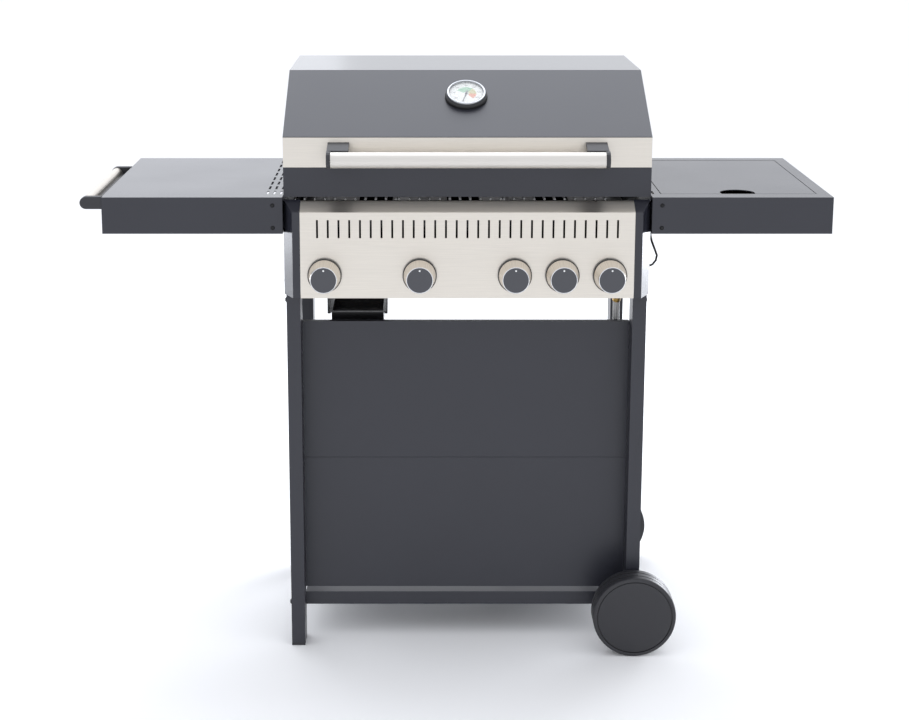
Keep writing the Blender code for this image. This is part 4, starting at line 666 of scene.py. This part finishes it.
# %% Glass and pointer
edit = bmesh.new()
add_lathe(edit, [(0, HOUSING_TOP - 0.2, 0), (20, HOUSING_TOP - 0.5, 0),
                 (31.1, HOUSING_TOP - 1.2, 0), (31.1, HOUSING_TOP - 2.0, 0),
                 (0, HOUSING_TOP - 1.2, 0)], 64)
emit(edit, "thermometer_lens", [lens_glass], "lid", dial)
edit = bmesh.new()
cold = Matrix.Rotation(math.radians(SCALE_START), 4, "Z")
base = FACE + 0.8
outline = [(-1.1, -8), (1.1, -8), (1.2, 0), (0.35, 24), (-0.35, 24), (-1.2, 0)]
upper = [edit.verts.new((x * MM, y * MM, (base + 0.4) * MM)) for x, y in outline]
lower = [edit.verts.new((x * MM, y * MM, base * MM)) for x, y in outline]
edit.faces.new(upper)
edit.faces.new(lower[::-1])
for i in range(len(outline)):
    edit.faces.new((upper[i - 1], lower[i - 1], lower[i], upper[i]))
add_lathe(edit, [(0, base + 1.0, 0), (1.8, base + 0.9, 0), (2.2, base + 0.4, 0),
                 (2.2, FACE + 0.2, 0), (0, FACE + 0.2, 0)], 24)
bmesh.ops.transform(edit, matrix=cold, verts=edit.verts)
pointer = emit(edit, "thermometer_pointer", [core], "thermometer_needle", dial)
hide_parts("thermometer_needle")
nodes["thermometer"].data.materials[0] = black
print("pointer rests at", -SCALE_START, "degrees")

# %% [markdown]
# ## Wheels
# The cart rolls on two moulded wheels 154 mm across. The tread has two grooves and soft
# shoulders; a snap-in cap closes the outer side, with a thin gap round it; the inner side is
# open, with a rim, a hub and ribs between them, as moulding needs even walls. The whole section
# is one profile round the axle, which turning gives exactly; the ribs are blocks set into it.

# %% Wheels
# The profile is written as (radius, height, finish) in mm, from the cap's middle over the
# tread and back along the inner side to the axle.
# Finish 1, black, is painted shade: the floors of the cap's gap, of the tread's grooves and of the axle's bore.
WHEEL_OUTER, SPOKES, GROOVES = 49.7, 12, (34.4, 19.1)
TREAD = [(0, WHEEL_OUTER - 1.2, 0), (40, WHEEL_OUTER - 0.9, 0), (66.5, WHEEL_OUTER - 0.3, 0),
         (68.2, WHEEL_OUTER - 0.6, 0), (68.6, WHEEL_OUTER - 2.2, 1), (69.6, WHEEL_OUTER - 2.2, 1),
         (70.0, WHEEL_OUTER - 0.4, 0), (72.5, WHEEL_OUTER, 0), (75.4, WHEEL_OUTER - 0.7, 0),
         (76.7, WHEEL_OUTER - 2.2, 0), (77.0, WHEEL_OUTER - 4, 0)]
for middle in GROOVES:
    TREAD += [(77.0, middle + 1.4, 0), (75.2, middle + 1.0, 1), (75.2, middle - 1.0, 1),
              (77.0, middle - 1.4, 0)]
TREAD += [(77.0, 7, 0), (76.4, 4.6, 0), (74.5, 3.7, 0), (67, 3.7, 0), (66, 4.5, 0), (65.4, 20, 0),
          (20, 20, 0), (17, 4, 0), (16, 0.2, 0), (5.4, 0.2, 0), (5.4, 44, 1), (0, 44, 1)]
for side, out in (("front", -1), ("rear", 1)):
    low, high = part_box(f"wheel_{side}")
    spot = Vector(((low.x + high.x) / 2, high.y if out < 0 else low.y, (low.z + high.z) / 2))
    edit = bmesh.new()
    add_lathe(edit, TREAD, steps=120)
    for i in range(SPOKES):
        spoke = Matrix.Rotation(math.radians(360 / SPOKES * i), 4, "Z")
        add_block(edit, (15, -1.3, 6.5), (66.5, 1.3, 21), 0, spoke)
    wheel = emit(edit, f"wheel_{side}_moulding", [moulded, black], f"wheel_{side}",
                 aim(spot, (0, out, 0)))
    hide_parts(f"wheel_{side}")
print("wheels with", SPOKES, "ribs each")

# %% [markdown]
# ## Hose braid and fittings
# The hose's jacket is woven from light grey yarn, in strands that cross on a slant. A real
# strand is about 1 mm wide; here it is about 4 mm, as coarse as it needs to be to show. Each
# strand could be a tube of its own, at a great many faces; two slanted waves along the hose's
# own map give the same light and dark squares. Crimped brass ferrules and hexagon nuts hold
# the hose's ends.

# %% Braid
braid, tree, shader = new_material("woven_hose_jacket", "#BDBCB8", 0.0, 0.6, IOR=1.5)
uv = add_node(tree, "ShaderNodeTexCoord").outputs["UV"]
split = add_node(tree, "ShaderNodeSeparateXYZ", {"Vector": uv})
STRAND_WIDTH = 4.1 * MM
STRANDS = round(2 * math.pi * HOSE_R / STRAND_WIDTH)
along = add_node(tree, "ShaderNodeMath", {0: split.outputs["X"], 1: hose_length / STRAND_WIDTH},
                 operation="MULTIPLY")
around = add_node(tree, "ShaderNodeMath", {0: split.outputs["Y"], 1: float(STRANDS)},
                  operation="MULTIPLY")
waves = []
for sign in (1.0, -1.0):
    slant = add_node(tree, "ShaderNodeMath", {0: around.outputs["Value"], 1: sign,
                                              2: along.outputs["Value"]},
                     operation="MULTIPLY_ADD")
    angle = add_node(tree, "ShaderNodeMath", {0: slant.outputs["Value"], 1: math.pi},
                     operation="MULTIPLY")
    waves.append(add_node(tree, "ShaderNodeMath", {0: angle.outputs["Value"]}, operation="SINE"))
crossing = add_node(tree, "ShaderNodeMath", {0: waves[0].outputs["Value"],
                                             1: waves[1].outputs["Value"]}, operation="MULTIPLY")
level = add_node(tree, "ShaderNodeMapRange", {"Value": crossing.outputs["Value"],
                                              "From Min": -1.0, "From Max": 1.0})
tone = add_node(tree, "ShaderNodeMix", {"Factor": level.outputs["Result"], "A": linear("#66666A"),
                                        "B": linear("#BFBEBA")}, data_type="RGBA")
tree.links.new(tone.outputs["Result"], shader.inputs["Base Color"])
bump = add_node(tree, "ShaderNodeBump", {"Height": level.outputs["Result"], "Strength": 0.6,
                                         "Distance": 0.5 * MM})
tree.links.new(bump.outputs["Normal"], shader.inputs["Normal"])
hose.data.materials.append(braid)
print("strands round the hose", STRANDS)

# %% Hose fittings
NUT_ACROSS = 18


def add_hexagon(mesh_edit, across, low, high):
    """A chamfered hexagon nut; across is over its flats, all in mm."""
    radius = across / math.sqrt(3)
    add_lathe(mesh_edit, [(0, high, 0), (radius * 0.84, high, 0), (radius, high - 1.2, 0),
                          (radius, low + 1.2, 0), (radius * 0.84, low, 0), (0, low, 0)], 6)


for name, end, inward in (("spud_nut", hose_points[0], hose_points[1]),
                          ("regulator_nut", hose_points[-1], hose_points[-2])):
    edit = bmesh.new()
    add_hexagon(edit, NUT_ACROSS, -1, 9)
    add_lathe(edit, [(6.7, 26, 0), (7.4, 25.5, 0), (7.4, 19, 0), (7.0, 18.5, 0), (7.4, 18, 0),
                     (7.4, 12, 0), (8.2, 11, 0), (8.2, 8.5, 0), (6.7, 8.5, 0), (6.7, 26, 0)], 32)
    emit(edit, name, [brass], "cart", aim(end, inward - end, (0, 1, 0)))
print("nuts", NUT_ACROSS, "mm over the flats")

# %% [markdown]
# ## Screws and bolts
# The cart is bolted together through the tubes with domed heads; small black cross-head screws
# hold the shelves' brackets. The heads are steel, zinc plated and passivated black: a dark
# metal with a soft gloss. Each one is turned from a short profile and gets a cross of two dark
# bars; cutting the cross with a Boolean would give the same look at this size.

# %% Screw heads
def add_screw(mesh_edit, spot, out, radius, height):
    """A domed cross-head screw: finish 0 is the head, finish 1 the dark cross."""
    matrix = aim(spot, out, (0, 0, 1) if abs(out[2]) < 0.9 else (0, 1, 0))
    dome = [(0, height, 0)]
    dome += [(radius * math.sin(math.radians(a)), height * math.cos(math.radians(a)), 0)
             for a in (25, 45, 62, 78, 90)]
    dome += [(radius, -0.5, 0), (0, -0.5, 0)]
    add_lathe(mesh_edit, dome, 20, matrix)
    for turned in (45, 135):
        bar = matrix @ Matrix.Rotation(math.radians(turned), 4, "Z")
        add_block(mesh_edit, (-radius * 0.55, -radius * 0.11, height * 0.5),
                  (radius * 0.55, radius * 0.11, height * 1.02), 1, bar)


print("a head takes its radius and height in mm")

# %% Screws in place
# Heads as (radius, height); places in mm from the panel's middle, its front and the floor.
SHELF_SCREW, BOLT, PANEL_SCREW, BACK_SCREW = (3.9, 1.6), (6.0, 4.2), (3.6, 2.4), (3.6, 2.0)
LEG_MIDDLES, LEG_SIDE, PANEL_SIDE = (61, 425), 326.2, 329
edit = bmesh.new()
wing_front, wing_back = [corner.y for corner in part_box("left_shelf")]
for side in (-1, 1):
    for z in (848.7, 808.0):
        spot = body_point(side * 347, 0, z)
        add_screw(edit, Vector((spot.x, wing_front, spot.z)), (0, -1, 0), *SHELF_SCREW)
        add_screw(edit, Vector((spot.x, wing_back, spot.z)), (0, 1, 0), *SHELF_SCREW)
    for y in LEG_MIDDLES:
        add_screw(edit, body_point(side * LEG_SIDE, y, 666), (side, 0, 0), *BOLT)
        add_screw(edit, body_point(side * PANEL_SIDE, y, 702), (side, 0, 0), *PANEL_SCREW)
    add_screw(edit, body_point(side * 296, 466, 828), (0, 1, 0), *BACK_SCREW)
for y in LEG_MIDDLES:
    add_screw(edit, body_point(-LEG_SIDE, y, 78), (-1, 0, 0), *BOLT)
black_zinc = grained("black_zinc", "#0E0E10", "#161618", 0.6, 0.35, 1, 0.02)
screws = emit(edit, "cart_screws", [black_zinc, black], "cart")
print("screws", len(screws.data.polygons), "faces")

# %% [markdown]
# ## Shelf handle
# The two arms that carry the handle's bar are one moulding in black ABS: a thin web joins them
# along the shelf's end and closes most of the gap behind the bar. A block with its edges
# rounded by a bevel is all it needs, measured off the bar and the shelf.

# %% Handle web
WEB_TOP, WEB_BOTTOM = 10.8, 13.4
bar_low, bar_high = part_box("shelf_handle_bar")
shelf_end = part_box("left_shelf")[0].x
edit = bmesh.new()
add_block(edit, (bar_high.x / MM + 0.4, bar_low.y / MM, bar_high.z / MM - WEB_BOTTOM),
          (shelf_end / MM - 0.3, bar_high.y / MM, bar_high.z / MM - WEB_TOP))
bmesh.ops.bevel(edit, geom=edit.edges[:], offset=0.5 * MM, segments=2, affect="EDGES")
emit(edit, "shelf_handle_web", [black], "cart")
print("web", round((shelf_end - bar_high.x) / MM, 1), "mm wide")

# %% [markdown]
# ## Side burner gap shade
# A strip of black rubber lies under the gap round the flush lid as painted shade, so the gap
# reads as a dark line. Three straight blocks are enough, one along the front and
# one on each side. As placed, the side strips cross the lid's folded sides under its sheet.

# %% Gap shade
SHEET, STRIP, CLEAR, SWING, PAN_WALL = 1.5, 3.2, 0.25, 20, 8
lid_low, lid_high = [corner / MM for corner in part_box("side_burner_lid")]
pan_low, pan_high = [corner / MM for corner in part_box("side_burner_pan")]
top, bottom = lid_high.z - SHEET - 0.1, lid_high.z - SHEET - 1.3
left, right = max(lid_low.x, pan_low.x + PAN_WALL), min(lid_high.x, pan_high.x - PAN_WALL)
front, back = lid_low.y - CLEAR, lid_high.y - SWING
edit = bmesh.new()
add_block(edit, (left - STRIP, lid_low.y - STRIP, bottom), (right + STRIP, front, top))
add_block(edit, (left - STRIP, front, bottom), (left - CLEAR, back, top))
add_block(edit, (right + CLEAR, front, bottom), (right + STRIP, back, top))
# The strip is painted shade: it draws the gap round the lid as a dark line.
emit(edit, "side_burner_gap_shade", [rubber], "cart")
print("gasket from", round(left, 1), "to", round(right, 1))

# %% [markdown]
# ## Fire parts
# The grate's rods are cut to length; their ends keep the steel's bright colour, while the rest
# is painted dark brown as the shade inside the cook box. Each burner tube has a row of gas ports
# on either side, drilled every 9 mm, and a ceramic igniter beside it. The side burner's cap has
# ports all round. Drilling the solids would change the CAD model; dark discs on their skin paint
# the shade inside each hole and read the same, as a hole 2 mm wide shows nothing but black.

# %% Rod ends
GRATES, RODS, ROD_RADIUS = 3, 11, 2.5
edit = bmesh.new()
for grate in range(1, GRATES + 1):
    low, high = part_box(f"cooking_grate_{grate}")
    first, last = low.x + ROD_RADIUS * MM, high.x - ROD_RADIUS * MM
    for i in range(RODS):
        tip = Vector((first + i * (last - first) / (RODS - 1), low.y,
                      high.z - ROD_RADIUS * MM))
        add_lathe(edit, [(0, 0.6, 0), (ROD_RADIUS * 0.75, 0.5, 0), (ROD_RADIUS * 0.95, 0.1, 0),
                         (ROD_RADIUS * 0.95, -0.5, 0), (0, -0.5, 0)], 10, aim(tip, (0, -1, 0)))
emit(edit, "grate_rod_ends", [chrome], "cart")
print("rod ends", GRATES * RODS)

# %% Ports and igniters
# The first port is 100 mm behind the tube's front end, the last at least 30 mm before its back.
BURNERS, BURNER_RADIUS, PORT_PITCH, PORT_RISE = 4, 12.5, 9 * MM, 0.55
FIRST_PORT, LAST_PORT = 0.1, 0.03
ceramic = grained("glazed_ceramic", "#E9E6DE", "#F1EFE9", 0.0, 0.25, 2, 0.02)
# Dark discs paint the shade inside each port's hole.
hole_shade = grained("painted_hole_shade", "#060606", "#0C0C0C", 0.0, 0.8, 1, 0.02)
burner_low, burner_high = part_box("burner_set")
tube_z = burner_low.z + BURNER_RADIUS * MM
pitch = (burner_high.x - burner_low.x - 2 * BURNER_RADIUS * MM) / (BURNERS - 1)
edit = bmesh.new()
for burner in range(BURNERS):
    x = burner_low.x + BURNER_RADIUS * MM + burner * pitch
    for side in (-1, 1):
        out = Vector((side, 0, PORT_RISE)).normalized()
        y = burner_low.y + FIRST_PORT
        while y < burner_high.y - LAST_PORT:
            spot = Vector((x, y, tube_z)) + out * (BURNER_RADIUS - 0.25) * MM
            add_lathe(edit, [(0, 0.4, 1), (1.1, 0.38, 1), (1.1, -0.3, 1), (0, -0.3, 1)], 6,
                      aim(spot, out))
            y += PORT_PITCH
    stalk = Vector((x + 21 * MM, burner_low.y + 0.085, tube_z + 4 * MM))
    add_lathe(edit, [(0, 30, 2), (1.2, 30, 2), (1.2, 22, 2), (3.2, 21.5, 0), (3.4, 8, 0),
                     (4.2, 7.5, 0), (4.2, 5, 0), (3.2, 4.5, 0), (3.2, 0, 0), (0, 0, 0)], 16,
              aim(stalk, (0, 1, 0)))
emit(edit, "burner_ports", [ceramic, hole_shade, zinc], "cart")
print("burner tubes", round(pitch / MM, 1), "mm apart")

# %% Side burner ports
CAP_PORTS, CAP_RADIUS, PORT_DROP = 28, 41.9, 9 * MM
low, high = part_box("side_burner_grid")
cap_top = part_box("side_burner")[1].z
centre = Vector(((low.x + high.x) / 2, (low.y + high.y) / 2, cap_top))
edit = bmesh.new()
for i in range(CAP_PORTS):
    angle = 2 * math.pi * i / CAP_PORTS
    out = Vector((math.cos(angle), math.sin(angle), 0))
    spot = centre + out * CAP_RADIUS * MM - Vector((0, 0, PORT_DROP))
    add_block(edit, (-0.8, -3.2, -0.4), (0.8, 3.2, 0.3), 0, aim(spot, out))
stalk = centre + Vector((48 * MM, 0, -20 * MM))
add_lathe(edit, [(0, 16, 2), (1, 16, 2), (1, 12, 2), (2.8, 11.5, 1), (2.8, 0, 1), (0, 0, 1)], 16,
          Matrix.Translation(stalk))
emit(edit, "side_burner_ports", [hole_shade, ceramic, zinc], "cart")
print("side burner ports", CAP_PORTS)
